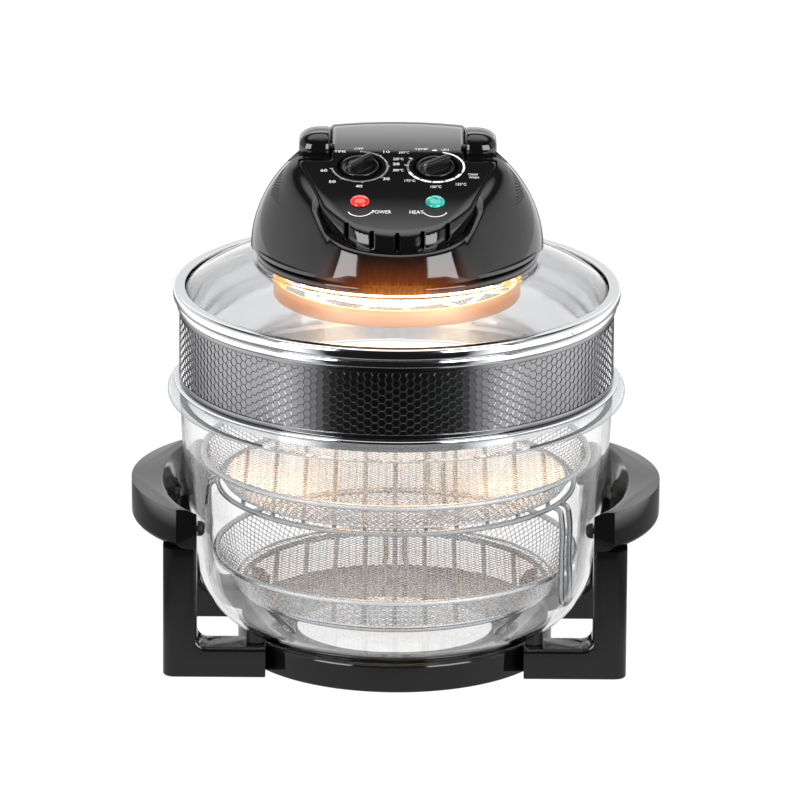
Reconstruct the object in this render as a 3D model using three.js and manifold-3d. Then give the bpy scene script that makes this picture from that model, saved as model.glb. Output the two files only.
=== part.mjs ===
// A countertop halogen oven: a plastic stand with two side grips carries a round glass bowl with two
// wire racks and two mesh baskets, a steel extender ring, and a lift-off glass lid with the heating head.
// Millimetres, +Z up, origin on the ground below the middle of the bowl, front towards -Y.
import * as THREE from "three";
import { mergeVertices } from "three/addons/utils/BufferGeometryUtils.js";
import Module from "manifold-3d";

const wasm = await Module();
wasm.setup();

// How finely round things are divided.
const roundCount = 32;
const smallRoundCount = 12;
const insideCount = 16;
const tinyRoundCount = 10;
const wireRoundCount = 28;
const wireSides = 4;
const wallSteps = 2;
const cornerSteps = 3;
const roundingSteps = 3;
const gripSteps = 14;
const weldGap = 0.001;

// Clearances shared by all pieces.
const seatGap = 0.3;
const runningGap = 0.6;
const overrun = 10;

// Base ring under the bowl.
const ringOuterRadius = 115.6;
const ringHeight = 21;
const ringWall = 3.6;
const ringEdge = 2.8;
const ringFloorHeight = 7.5;
const ringFloorThick = 3;
const ringBoreRadius = 72;

// Legs: a foot from the base ring to a post under each end of a side grip.
const postOuterX = 169.3;
const postWidth = 24.7;
const postFrontY = 84.2;
const postDepth = 30.6;
const footHeight = 22.8;
const footLap = 21.3;
const footInnerX = ringOuterRadius - footLap;
const legCornerRadius = 8;
const legFillet = 8;
const postTop = 98.2;
const spigotHeight = 11;
const spigotInset = 4.5;

// Side grips.
const gripOverhang = 24.7;
const gripReach = postOuterX + gripOverhang;
const gripArcRadius = 120;
const gripTop = 128.5;
const gripHoleX = 162;
const gripHoleHalf = 54;
const gripDishX = 171.5;
const gripDishHalf = 118;
const gripDishFloor = 108.5;
const gripCentreX = 100;
const gripHoleSquareness = 5;

// Rubber bumpers on the posts and rubber pads under the bowl.
const bumperHeight = 107.8;
const bumperRadius = 5.6;
const bumperReach = 5.4;
const bumperY = 63.5;
const bumperStemRadius = 2.4;
const bumperStemLength = 6;
const padRadius = 7;
const padX = 101.5;
const padY = 69;
const padHeight = 14;

// Glass bowl.
const bowlGlass = 4.8;
const bowlBottom = 14.5;
const bowlFloorRadius = 84;
const bowlCornerReach = 34;
const bowlCornerRadius = 146.5;
const bowlCornerTop = 69;
const bowlCornerPull = 29;
const bowlCornerLean = 1.5;
const bowlNeckRadius = 158.5;
const bowlNeckZ = 190;
const bowlBulgeRadius = 155.9;
const bowlBulgeZ = 124.5;
const bowlLipRadius = 167.5;
const bowlLipHalf = 6.5;

// Steel extender ring with its black embossed sleeve.
const extenderWall = 1.6;
const extenderRadius = 155.5;
const extenderBeadReach = 7;
const extenderBeadRadius = extenderRadius + extenderBeadReach;
const extenderBeadHeight = 3;
const extenderSkirtRadius = 150.8;
const extenderSkirtDepth = 8.5;
const extenderFlare = 5.5;
const extenderTopRadius = extenderRadius + extenderFlare;
const extenderTopBand = 5.8;
const sleeveHeight = 54.1;
const sleeveRadius = 159.1;

// Lid: chrome rim and domed glass plate.
const rimLap = 2.5;
const rimRadius = extenderTopRadius + rimLap;
const rimHeight = 8.4;
const rimWidth = 8.6;
const rimSheet = 1.4;
const lidGlass = 4.2;
const lidShoulderRadius = 103;
const lidRise = 24.3;
const lidBulgeRadius = 134;
const lidBulgeRise = 15.5;
const lidHoleRadius = 81;

// Head mouldings: skirt ring, dome and upper cover with the sloping control panel.
const skirtRadius = 103;
const skirtHeight = 5.9;
const skirtEdge = 1.8;
const neckRadius = 98;
const neckHeight = 2.6;
const domeRadius = 106.8;
const domeHeight = 93.9;
const domeDrop = 2.6;
const domeWall = 2.8;
const domeRowCount = 8;
const panelTilt = (16.6 * Math.PI) / 180;
const panelTipY = 96.6;
const panelTipZ = 343.4;
const panelDrop = 15;
const panelSheet = 3;
const panelNoseX = 25;
const panelNoseY = 91.5;
const panelShoulderX = 40;
const panelShoulderY = 79;
const panelCheekX = 55;
const panelCheekY = 60;
const panelBackX = 72;
const panelBackY = 9;
const panelEndY = 2;
const humpHalf = 48.5;
const humpEndY = 72;
const shelfHalf = 56;
const ventWidth = 2.9;
const ventPitch = 18.2;
const ventHeight = 12;
const ventCount = 5;

// Dials, indicator lenses and what they work.
const dialX = 27.6;
const dialY = 12.5;
const dialRestTurns = { timer: (46 * Math.PI) / 180, thermostat: (235 * Math.PI) / 180 };
const wellRadius = 16.8;
const wellDepth = 5;
const wellWall = 2.4;
const knobRadius = 13.8;
const knobSkirt = 5.6;
const knobBarHeight = 6;
const knobBarWidth = 5.2;
const knobBarTaper = 2.2;
const knobBore = 2.6;
const spindleRadius = 2.3;
const spindleReach = 14;
const switchBodyHalf = 15;
const switchBodyDepth = 13;
const switchBushRadius = 5.5;
const switchBushHeight = 2;
const lensX = 27.2;
const lensY = 57.4;
const lensRadius = 7;
const lensStemRadius = 5.4;
const lensStemDepth = 6.5;
const lensRise = 3.2;
const lensBore = 3.6;
const neonRadius = 2.8;
const neonLength = 12;

// Heating head below the lid: pan, halogen tube, guard.
const panWall = 1.2;
const panRadius = 79.2;
const panFlangeRadius = 90;
const panTop = 317;
const panShaftHole = 6;
const tubeRingRadius = 70;
const tubeRadius = 5;
const tubeZ = 284.2;
const tubeGapShare = 0.07;
const tubeSides = 7;
const tubeSteps = 26;
const tubeGuides = 72;
const holderWidth = 13;
const holderLength = 11;
const guardRadius = 89.7;
const guardSheet = 1.2;
const guardBottom = 269.4;
const guardHeight = 12.1;
const grilleSheet = 1.4;
const grilleBar = 3;
const grilleRingCount = 3;
const grilleSectorCount = 9;
const bracketWidth = 9;
const bracketSheet = 1.2;
const bracketFoot = 6;
const bracketTurnShares = [-0.755, -0.09, 0.66];

// Fan, motor and its bridge.
const shaftRadius = 3;
const shaftBottom = 297;
const convectionFanRadius = 62;
const convectionFanHeight = 9;
const convectionFanZ = 301;
const coolingFanRadius = 50;
const coolingFanHeight = 5;
const coolingFanZ = 318.6;
const fanHubRadius = 9;
const bladeThick = 1.2;
const bladeCount = 6;
const fanWebShare = 0.7;
const motorRadius = 26;
const motorBottom = 326.2;
const motorHeight = 18;
const motorBoreDepth = 12;
const motorTopShare = 0.8;
const motorWaistShare = 0.2;
const bridgeSheet = 1.5;
const bridgeWidth = 12;
const bridgeFootRadius = 62;

// Carrying handle, its pins and the interlock that it presses.
const handleInnerX = 51;
const handleOuterX = 72;
const pivotY = 14;
const pivotZ = 376;
const handleThick = 11.4;
const handleBossRadius = 11.2;
const armCrestY = 40;
const armCrestZ = 377;
const armShoulderY = 66;
const armShoulderZ = 369;
const armElbowY = 94;
const armElbowZ = 351;
const armEndY = 127;
const armEndZ = 318;
const armCount = 14;
const barRows = 2;
const channelGap = 1.1;
const pinRadius = 3;
const pinReach = 17;
const pinSeat = 6;
const plungerRadius = 2.8;
const plungerY = 31;
const plungerX = 61.5;
const plungerLength = 15;
const plungerProud = 0.6;
const interlockLength = 20;
const interlockWidth = 11;
const interlockHeight = 13;

// Gland at the back where the mains lead enters.
const glandZ = 318;
const glandRadius = 7.5;
const glandBore = 3.6;
const glandProud = 5;
const glandCollar = 1.8;

// Wire racks and mesh baskets.
const rackWire = 2;
const highRackZ = 127;
const highRackRadius = 130.5;
const highLegSplay = 6.9;
const highLegReach = highRackRadius + highLegSplay;
const highLegBend = 7;
const highLegKnee = 72;
const highLegSpread = 6;
const highLegTurnShares = [-0.15, 0.43, 1];
const lowRackZ = 48.4;
const lowRackRadius = 112;
const lowLegFootRadius = 85;
const lowLegSpread = 7;
const lowLegTurnShares = [-0.16, 0.5, 1.16];
const barPitch = 22;
const upperBasketFloorRadius = 126;
const upperBasketRimRadius = 141.2;
const upperBasketRimZ = 150;
const lowerBasketFloorRadius = 117;
const lowerBasketRimRadius = 132.4;
const lowerBasketRimZ = 75;
const basketSheet = 1.4;
const basketRimWire = 2.2;
const netPitch = 40;
const netBar = 4;
const netWindowCount = 12;
const netWindowBar = 5;
const legSteps = 3;
const lowLegSag = 0.5;

// Colours and finishes.
const glossBlack = { color: 0x0d0d0e, roughness: 0.12, metalness: 0 };
const satinBlack = { color: 0x17181a, roughness: 0.4, metalness: 0 };
const rubber = { color: 0x151515, roughness: 0.8, metalness: 0 };
const clearGlass = { color: 0xe6eeee, roughness: 0.03, metalness: 0 };
const chrome = { color: 0xd6d8da, roughness: 0.08, metalness: 1 };
const steel = { color: 0xb9bcc0, roughness: 0.28, metalness: 1 };
const ceramic = { color: 0xe9e3d6, roughness: 0.7, metalness: 0 };
const quartz = { color: 0xffc68a, roughness: 0.1, metalness: 0 };
const redLens = { color: 0xd81414, roughness: 0.1, metalness: 0 };
const greenLens = { color: 0x11a191, roughness: 0.1, metalness: 0 };

// Turns a geometry into a solid that can be cut and joined.
function solid(geometry) {
  const bare = geometry.index ? geometry.toNonIndexed() : geometry.clone();
  bare.deleteAttribute("normal");
  bare.deleteAttribute("uv");
  const merged = mergeVertices(bare, weldGap);
  const triVerts = new Uint32Array(merged.index.array);
  const build = () =>
    new wasm.Manifold(
      new wasm.Mesh({ numProp: 3, vertProperties: merged.attributes.position.array, triVerts }),
    );
  const made = build();
  if (made.volume() > 0) return made;
  for (let i = 0; i < triVerts.length; i += 3) {
    [triVerts[i + 1], triVerts[i + 2]] = [triVerts[i + 2], triVerts[i + 1]];
  }
  return build();
}

// Gives a cut solid back as a geometry.
function shapeOf(made) {
  const mesh = made.getMesh();
  const geometry = new THREE.BufferGeometry();
  geometry.setAttribute("position", new THREE.BufferAttribute(new Float32Array(mesh.vertProperties), 3));
  geometry.setIndex(new THREE.BufferAttribute(new Uint32Array(mesh.triVerts), 1));
  geometry.computeVertexNormals();
  return geometry;
}

// Makes the named mesh of one sub-part.
function piece(name, shape, finish) {
  const geometry = shape.isBufferGeometry ? shape : shapeOf(shape);
  const mesh = new THREE.Mesh(geometry, new THREE.MeshStandardMaterial(finish));
  mesh.name = name;
  return mesh;
}

// Turns a closed profile of [radius, height] pairs about the vertical axis.
function turned(profile, count = roundCount) {
  const points = profile.map(([radius, z]) => new THREE.Vector2(radius, z));
  const first = points[0];
  const last = points[points.length - 1];
  if (first.x > 0 || last.x > 0) points.push(first.clone());
  const geometry = new THREE.LatheGeometry(points, count);
  geometry.rotateX(Math.PI / 2);
  return solid(geometry);
}

// A straight prism: a plan outline of [x, y] pairs between two heights.
function prism(outline, low, high, holes = []) {
  const shape = new THREE.Shape(outline.map(([x, y]) => new THREE.Vector2(x, y)));
  holes.forEach((hole) => {
    shape.holes.push(new THREE.Path(hole.map(([x, y]) => new THREE.Vector2(x, y))));
  });
  const geometry = new THREE.ExtrudeGeometry(shape, { depth: high - low, bevelEnabled: false });
  geometry.translate(0, 0, low);
  return geometry;
}

// A block given by its two opposite corners.
function block(x0, x1, y0, y1, z0, z1) {
  const geometry = new THREE.BoxGeometry(x1 - x0, y1 - y0, z1 - z0);
  geometry.translate((x0 + x1) / 2, (y0 + y1) / 2, (z0 + z1) / 2);
  return geometry;
}

// A short round bar along Z.
function rod(radius, low, high, x = 0, y = 0, count = smallRoundCount) {
  const geometry = new THREE.CylinderGeometry(radius, radius, high - low, count);
  geometry.rotateX(Math.PI / 2);
  geometry.translate(x, y, (low + high) / 2);
  return geometry;
}

// A wire along a list of points, rounded at its corners.
function wire(points, radius, steps) {
  const path = new THREE.CatmullRomCurve3(points, false, "centripetal");
  const section = new THREE.Shape(
    Array.from({ length: wireSides }, (_, i) => {
      const turn = (2 * Math.PI * (i + 0.5)) / wireSides;
      return new THREE.Vector2(radius * Math.cos(turn), radius * Math.sin(turn));
    }),
  );
  return new THREE.ExtrudeGeometry(section, { steps, extrudePath: path, bevelEnabled: false });
}

// Stacks rings of equal point counts into one closed solid.
function loft(rings) {
  const count = rings[0].length;
  const positions = rings.flat().flatMap((p) => [p.x, p.y, p.z]);
  const faces = [];
  rings.slice(1).forEach((_, row) => {
    for (let i = 0; i < count; i += 1) {
      const next = (i + 1) % count;
      const a = row * count + i;
      const b = row * count + next;
      faces.push(a, b, b + count, a, b + count, a + count);
    }
  });
  const top = (rings.length - 1) * count;
  for (let i = 1; i < count - 1; i += 1) {
    faces.push(0, i + 1, i, top, top + i, top + i + 1);
  }
  const geometry = new THREE.BufferGeometry();
  geometry.setAttribute("position", new THREE.Float32BufferAttribute(positions, 3));
  geometry.setIndex(faces);
  return geometry;
}

// Points on a quadratic or cubic curve, without its first point.
function bend(points, steps) {
  const ends = points.map(([x, y]) => new THREE.Vector2(x, y));
  const curve =
    ends.length === 3 ? new THREE.QuadraticBezierCurve(...ends) : new THREE.CubicBezierCurve(...ends);
  return curve
    .getPoints(steps)
    .slice(1)
    .map((p) => [p.x, p.y]);
}

// Points on an arc about a centre, ends included.
function arc(x, y, radius, from, to, steps) {
  return Array.from({ length: steps + 1 }, (_, i) => {
    const turn = from + ((to - from) * i) / steps;
    return [x + radius * Math.cos(turn), y + radius * Math.sin(turn)];
  });
}

// Heights that several pieces share.
const bowlRimZ = bowlNeckZ + 2 * bowlLipHalf;
const extenderBottom = bowlRimZ + seatGap;
const sleeveBottom = extenderBottom + extenderBeadHeight + seatGap;
const extenderShoulder = sleeveBottom + sleeveHeight + seatGap;
const extenderTop = extenderShoulder + extenderTopBand;
const rimBottom = extenderTop + seatGap;
const glassEdgeBottom = rimBottom + rimSheet + seatGap;
const glassEdgeTop = glassEdgeBottom + lidGlass;
const lidTop = glassEdgeTop + lidRise;
const skirtBottom = lidTop + seatGap;
const skirtTop = skirtBottom + skirtHeight;
const neckBottom = skirtTop + seatGap;
const domeBottom = neckBottom + neckHeight;
const domeCentreZ = domeBottom - domeDrop;
const panFlangeTop = lidTop - lidGlass - seatGap;
const panelSlope = Math.tan(panelTilt);
const postInnerX = postOuterX - postWidth;
const gripBottom = postTop + seatGap;

// Height of the sloping panel plane above a place on the ground plan, lowered by a drop.
const panelZ = (y, drop = 0) => panelTipZ + panelSlope * (y + panelTipY) - drop;

// Outside and inside profile of the glass bowl.
function bowlWall(inset) {
  const floor = bowlBottom + inset;
  const cornerRadius = bowlCornerRadius - inset;
  return [
    [bowlFloorRadius, floor],
    ...bend(
      [
        [bowlFloorRadius, floor],
        [bowlFloorRadius + bowlCornerReach - inset / 2, floor],
        [cornerRadius - bowlCornerLean, bowlCornerTop - bowlCornerPull],
        [cornerRadius, bowlCornerTop],
      ],
      cornerSteps,
    ),
    ...bend(
      [
        [cornerRadius, bowlCornerTop],
        [bowlBulgeRadius - inset, bowlBulgeZ],
        [bowlNeckRadius - inset, bowlNeckZ],
      ],
      wallSteps,
    ),
  ];
}

function glassBowl() {
  const lipX = bowlLipRadius - bowlLipHalf;
  const lipZ = bowlNeckZ + bowlLipHalf;
  const lip = arc(lipX, lipZ, bowlLipHalf, -Math.PI / 2, Math.PI / 2, cornerSteps);
  const inner = bowlWall(bowlGlass).reverse();
  const mouth = [[inner[0][0], bowlRimZ]];
  return turned([[0, bowlBottom], ...bowlWall(0), ...lip, ...mouth, ...inner, [0, bowlBottom + bowlGlass]]);
}

// The bowl's outside grown by a gap, to seat the pads against it.
function bowlEnvelope(gap) {
  return turned([
    [0, bowlBottom - gap],
    ...bowlWall(-gap),
    [0, bowlNeckZ],
  ]);
}

function baseRing() {
  const wallRadius = ringOuterRadius - ringWall;
  const floorTop = ringFloorHeight + ringFloorThick;
  return turned([
    [ringBoreRadius, ringFloorHeight],
    [wallRadius, ringFloorHeight],
    [wallRadius, 0],
    [ringOuterRadius, 0],
    ...arc(ringOuterRadius - ringEdge, ringHeight - ringEdge, ringEdge, 0, Math.PI / 2, roundingSteps),
    [wallRadius, ringHeight],
    [wallRadius, floorTop],
    [ringBoreRadius, floorTop],
  ]);
}

// The leg at the front right; the other three are its mirror images.
function leg() {
  const side = [
    [footInnerX, 0],
    [postOuterX, 0],
    [postOuterX, postTop],
    [postInnerX, postTop],
    ...arc(postInnerX - legFillet, footHeight + legFillet, legFillet, 0, -Math.PI / 2, roundingSteps),
    [footInnerX, footHeight],
  ];
  const outline = prism(side, 0, postDepth);
  outline.rotateX(Math.PI / 2);
  outline.translate(0, postDepth - postFrontY, 0);
  const backY = postDepth - postFrontY;
  const cornerX = postOuterX - legCornerRadius;
  const plan = [
    [footInnerX, -postFrontY],
    ...arc(cornerX, legCornerRadius - postFrontY, legCornerRadius, -Math.PI / 2, 0, roundingSteps),
    ...arc(cornerX, backY - legCornerRadius, legCornerRadius, 0, Math.PI / 2, roundingSteps),
    [footInnerX, backY],
  ];
  const rounded = solid(outline).intersect(solid(prism(plan, -overrun, postTop + overrun)));
  const spigot = solid(
    block(
      postInnerX + spigotInset,
      postOuterX - spigotInset,
      spigotInset - postFrontY,
      backY - spigotInset,
      footHeight,
      postTop + spigotHeight,
    ),
  );
  const ringSpace = solid(rod(ringOuterRadius + seatGap, -overrun, footHeight + overrun, 0, 0, roundCount));
  const stemHole = rod(bumperStemRadius + seatGap, 0, bumperStemLength + seatGap);
  stemHole.rotateY(Math.PI / 2);
  stemHole.translate(postInnerX, -bumperY, bumperHeight);
  const bumperFace = solid(stemHole);
  return rounded.add(spigot).subtract(ringSpace).subtract(bumperFace);
}

// The right grip: a D in plan, dished on its inner side round the finger gap.
function grip() {
  const arcX = gripReach - gripArcRadius;
  const swing = Math.asin(postFrontY / gripArcRadius);
  const plan = [
    [postInnerX, -postFrontY],
    ...arc(arcX, 0, gripArcRadius, -swing, swing, gripSteps),
    [postInnerX, postFrontY],
  ];
  const power = 2 / gripHoleSquareness;
  const curve = (reach, half, bendPower, z) =>
    Array.from({ length: roundCount }, (_, i) => {
      const turn = (2 * Math.PI * i) / roundCount;
      const c = Math.cos(turn);
      const s = Math.sin(turn);
      return new THREE.Vector3(
        gripCentreX + (reach - gripCentreX) * Math.sign(c) * Math.abs(c) ** bendPower,
        half * Math.sign(s) * Math.abs(s) ** bendPower,
        z,
      );
    });
  const dish = loft([
    curve(gripHoleX, gripHoleHalf, power, gripBottom - overrun),
    curve(gripHoleX, gripHoleHalf, power, gripDishFloor),
    curve(gripDishX, gripDishHalf, 1, gripTop + seatGap),
  ]);
  const socket = (side) => {
    const near = postFrontY - spigotInset + seatGap;
    const far = postFrontY - postDepth + spigotInset - seatGap;
    return solid(
      block(
        postInnerX + spigotInset - seatGap,
        postOuterX - spigotInset + seatGap,
        side < 0 ? -near : far,
        side < 0 ? -far : near,
        gripBottom - overrun,
        postTop + spigotHeight + seatGap,
      ),
    );
  };
  const stem = (side) => {
    const hole = rod(bumperStemRadius + seatGap, 0, bumperStemLength + seatGap);
    hole.rotateY(Math.PI / 2);
    hole.translate(postInnerX - seatGap, side * bumperY, bumperHeight);
    return solid(hole);
  };
  return solid(prism(plan, gripBottom, gripTop))
    .subtract(solid(dish))
    .subtract(socket(-1))
    .subtract(socket(1))
    .subtract(stem(-1))
    .subtract(stem(1));
}

// A rubber bumper at the front right, its stem pushed into the grip.
function bumper() {
  const head = [
    [0, -bumperReach],
    ...bend(
      [
        [0, -bumperReach],
        [bumperRadius, -bumperReach],
        [bumperRadius, 0],
      ],
      roundingSteps,
    ),
    [bumperStemRadius, 0],
    [bumperStemRadius, bumperStemLength],
    [0, bumperStemLength],
  ];
  const geometry = shapeOf(turned(head, tinyRoundCount));
  geometry.rotateY(Math.PI / 2);
  geometry.translate(postInnerX - seatGap, -bumperY, bumperHeight);
  return geometry;
}

// A rubber pad at the front right: a stud on the foot, hollowed to the bowl's shape.
function bowlPad() {
  const stud = solid(rod(padRadius, footHeight + seatGap, footHeight + padHeight, padX, -padY));
  return stud.subtract(bowlEnvelope(seatGap));
}

function standGroup() {
  const group = new THREE.Group();
  group.add(piece("base_ring", baseRing(), glossBlack));
  const legShape = shapeOf(leg());
  const bumperShape = bumper();
  const padShape = shapeOf(bowlPad());
  [
    ["front_left", -1, 1],
    ["front_right", 1, 1],
    ["rear_left", -1, -1],
    ["rear_right", 1, -1],
  ].forEach(([corner, sideX, sideY]) => {
    const members = [
      piece(`${corner}_leg`, legShape, glossBlack),
      piece(`${corner}_bumper`, bumperShape, rubber),
      piece(`${corner}_bowl_pad`, padShape, rubber),
    ];
    members.forEach((mesh) => mesh.scale.set(sideX, sideY, 1));
    group.add(...members);
  });
  const gripShape = shapeOf(grip());
  const right = piece("right_grip", gripShape, glossBlack);
  const left = piece("left_grip", gripShape, glossBlack);
  left.scale.set(-1, 1, 1);
  group.add(right, left);
  return group;
}

// How near a place inside the bowl is to its wall, on the turned profile.
function wallDistance(radius, z) {
  const flat = Math.cos(Math.PI / roundCount);
  const wall = [[0, bowlBottom + bowlGlass], ...bowlWall(bowlGlass)].map(([x, y]) => [x * flat, y]);
  const distances = wall.slice(1).map(([x1, y1], i) => {
    const [x0, y0] = wall[i];
    const along = ((radius - x0) * (x1 - x0) + (z - y0) * (y1 - y0)) / ((x1 - x0) ** 2 + (y1 - y0) ** 2);
    const share = Math.min(1, Math.max(0, along));
    return Math.hypot(radius - x0 - share * (x1 - x0), z - y0 - share * (y1 - y0));
  });
  return Math.min(...distances);
}

// The height at which a leg's wire stands on the inside of the bowl.
function footHeightInBowl(radius) {
  let low = bowlBottom + bowlGlass;
  let high = bowlNeckZ;
  while (high - low > weldGap) {
    const middle = (low + high) / 2;
    if (wallDistance(radius, middle) > rackWire + seatGap) high = middle;
    else low = middle;
  }
  return high;
}

// A wire rack: a ring, parallel bars from front to back, and looped legs.
function rack(radius, z, legAngles, legPath) {
  const ring = new THREE.TorusGeometry(radius, rackWire, wireSides, wireRoundCount);
  ring.translate(0, 0, z);
  let made = solid(ring);
  const half = Math.floor((radius - barPitch / 2) / barPitch);
  for (let i = -half; i <= half; i += 1) {
    const x = i * barPitch;
    const reach = Math.sqrt(radius ** 2 - x ** 2);
    const bar = new THREE.CylinderGeometry(rackWire, rackWire, 2 * reach, wireSides);
    bar.translate(x, 0, z);
    made = made.add(solid(bar));
  }
  legAngles.forEach((angle) => {
    const loop = wire(legPath, rackWire, (legSteps * legPath.length) / 2);
    loop.rotateZ(angle);
    made = made.add(solid(loop));
  });
  return made;
}

// A looped leg in the XZ plane: out from the ring, down, across and back up.
function loopedLeg(stations, spread) {
  const down = stations.map(([r, z]) => new THREE.Vector3(r, -spread, z));
  const up = stations.map(([r, z]) => new THREE.Vector3(r, spread, z)).reverse();
  return [...down, ...up];
}

function highRack() {
  const stations = [
    [highRackRadius, highRackZ],
    [highLegReach, highRackZ - highLegBend],
    [highLegReach, highLegKnee],
    [highLegReach, footHeightInBowl(highLegReach)],
  ];
  const angles = highLegTurnShares.map((share) => share * Math.PI);
  return rack(highRackRadius, highRackZ, angles, loopedLeg(stations, highLegSpread));
}

function lowRack() {
  const floor = footHeightInBowl(lowLegFootRadius) + lowLegSag;
  const stations = [
    [lowRackRadius, lowRackZ],
    [(lowRackRadius + lowLegFootRadius) / 2, (lowRackZ + floor) / 2],
    [lowLegFootRadius, floor],
  ];
  const angles = lowLegTurnShares.map((share) => share * Math.PI);
  return rack(lowRackRadius, lowRackZ, angles, loopedLeg(stations, lowLegSpread));
}

// A shallow mesh basket: netted floor, windowed side and a rim wire.
function basket(floorRadius, floorZ, basketRimRadius, basketRimZ) {
  const gaps = [];
  const reach = Math.ceil(floorRadius / netPitch);
  const half = (netPitch - netBar) / Math.SQRT2;
  for (let i = -reach; i <= reach; i += 1) {
    for (let j = -reach; j <= reach; j += 1) {
      if ((i + j) % 2) continue;
      const x = (i * netPitch) / Math.SQRT2;
      const y = (j * netPitch) / Math.SQRT2;
      if (Math.hypot(x, y) + half > floorRadius - netBar) continue;
      gaps.push([
        [x + half, y],
        [x, y + half],
        [x - half, y],
        [x, y - half],
      ]);
    }
  }
  const round = arc(0, 0, floorRadius, 0, 2 * Math.PI, wireRoundCount).slice(1);
  const floor = solid(prism(round, floorZ, floorZ + basketSheet, gaps));
  const side = turned([
    [floorRadius - basketSheet, floorZ],
    [floorRadius, floorZ],
    [basketRimRadius, basketRimZ],
    [basketRimRadius - basketSheet, basketRimZ],
  ], wireRoundCount);
  const rim = new THREE.TorusGeometry(basketRimRadius, basketRimWire, wireSides, wireRoundCount);
  rim.translate(0, 0, basketRimZ);
  let windowed = side;
  const step = (2 * Math.PI) / netWindowCount;
  const lowWindow = floorZ + netWindowBar;
  const highWindow = basketRimZ - netWindowBar;
  const width = (2 * Math.PI * floorRadius) / netWindowCount - netWindowBar;
  for (let i = 0; i < netWindowCount / 2; i += 1) {
    const reachX = basketRimRadius + overrun;
    const cut = block(-reachX, reachX, -width / 2, width / 2, lowWindow, highWindow);
    cut.rotateZ(i * step);
    windowed = windowed.subtract(solid(cut));
  }
  return floor.add(windowed).add(solid(rim));
}

function bowlGroup() {
  const group = new THREE.Group();
  group.add(piece("glass_bowl", glassBowl(), clearGlass));
  group.add(piece("low_rack", lowRack(), chrome));
  group.add(
    piece(
      "lower_basket",
      basket(lowerBasketFloorRadius, lowRackZ + rackWire + seatGap, lowerBasketRimRadius, lowerBasketRimZ),
      steel,
    ),
  );
  group.add(piece("high_rack", highRack(), chrome));
  group.add(
    piece(
      "upper_basket",
      basket(upperBasketFloorRadius, highRackZ + rackWire + seatGap, upperBasketRimRadius, upperBasketRimZ),
      steel,
    ),
  );
  return group;
}

function extenderRing() {
  const inner = extenderRadius - extenderWall;
  const skirtInner = extenderSkirtRadius - extenderWall;
  const beadTop = extenderBottom + extenderBeadHeight;
  return turned([
    [skirtInner, extenderBottom - extenderSkirtDepth],
    [extenderSkirtRadius, extenderBottom - extenderSkirtDepth],
    [extenderSkirtRadius, extenderBottom],
    [extenderBeadRadius, extenderBottom],
    [extenderBeadRadius, beadTop],
    [extenderRadius, beadTop],
    [extenderRadius, extenderShoulder],
    [extenderTopRadius, extenderShoulder],
    [extenderTopRadius, extenderTop],
    [inner, extenderTop],
    [inner, extenderBottom + extenderWall],
    [skirtInner, extenderBottom + extenderWall],
  ]);
}

function extenderSleeve() {
  return turned([
    [extenderRadius + seatGap, sleeveBottom],
    [sleeveRadius, sleeveBottom],
    [sleeveRadius, sleeveBottom + sleeveHeight],
    [extenderRadius + seatGap, sleeveBottom + sleeveHeight],
  ]);
}

function lidRim() {
  const inner = rimRadius - rimWidth;
  const top = rimBottom + rimHeight;
  return turned([
    [inner, rimBottom],
    [rimRadius - rimSheet, rimBottom],
    [rimRadius, rimBottom + rimSheet],
    [rimRadius, top - rimSheet],
    [rimRadius - rimSheet, top],
    [inner, top],
    [inner, top - rimSheet],
    [rimRadius - rimSheet, top - rimSheet],
    [rimRadius - rimSheet, rimBottom + rimSheet],
    [inner, rimBottom + rimSheet],
  ]);
}

function lidGlassPlate() {
  const edge = rimRadius - rimSheet - seatGap;
  const fold = rimRadius - rimWidth - seatGap;
  const surface = (drop) => [
    [fold, glassEdgeTop - drop],
    ...bend(
      [
        [fold, glassEdgeTop - drop],
        [lidBulgeRadius, glassEdgeTop + lidBulgeRise - drop],
        [lidShoulderRadius, lidTop - drop],
      ],
      cornerSteps,
    ),
    [lidHoleRadius, lidTop - drop],
  ];
  return turned([
    [edge, glassEdgeBottom],
    [edge, glassEdgeTop],
    ...surface(0),
    ...surface(lidGlass).reverse(),
  ]);
}

function skirtRing() {
  const inner = panRadius + runningGap;
  return turned([
    [inner, skirtBottom],
    [skirtRadius - skirtEdge, skirtBottom],
    [skirtRadius, skirtBottom + skirtEdge],
    [skirtRadius, skirtTop - skirtEdge],
    [skirtRadius - skirtEdge, skirtTop],
    [inner, skirtTop],
  ]);
}

// The half of space below the panel plane, lowered by a drop.
function belowPanel(drop) {
  const wide = domeRadius + overrun;
  const geometry = loft(
    [-wide, wide].map((x) => [
      new THREE.Vector3(x, -wide, 0),
      new THREE.Vector3(x, wide, 0),
      new THREE.Vector3(x, wide, panelZ(wide, drop)),
      new THREE.Vector3(x, -wide, panelZ(-wide, drop)),
    ]),
  );
  return solid(geometry);
}

// The dome's egg shape above its bottom edge, shrunk by an inset.
function domeBody(inset, bottom, count = roundCount) {
  const radius = domeRadius - inset;
  const height = domeHeight - inset;
  const low = Math.asin((bottom - domeCentreZ) / height);
  const profile = Array.from({ length: domeRowCount + 1 }, (_, i) => {
    const rise = low + ((Math.PI / 2 - low) * i) / domeRowCount;
    return [i === domeRowCount ? 0 : radius * Math.cos(rise), domeCentreZ + height * Math.sin(rise)];
  });
  return turned([[0, bottom], ...profile], count);
}

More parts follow.
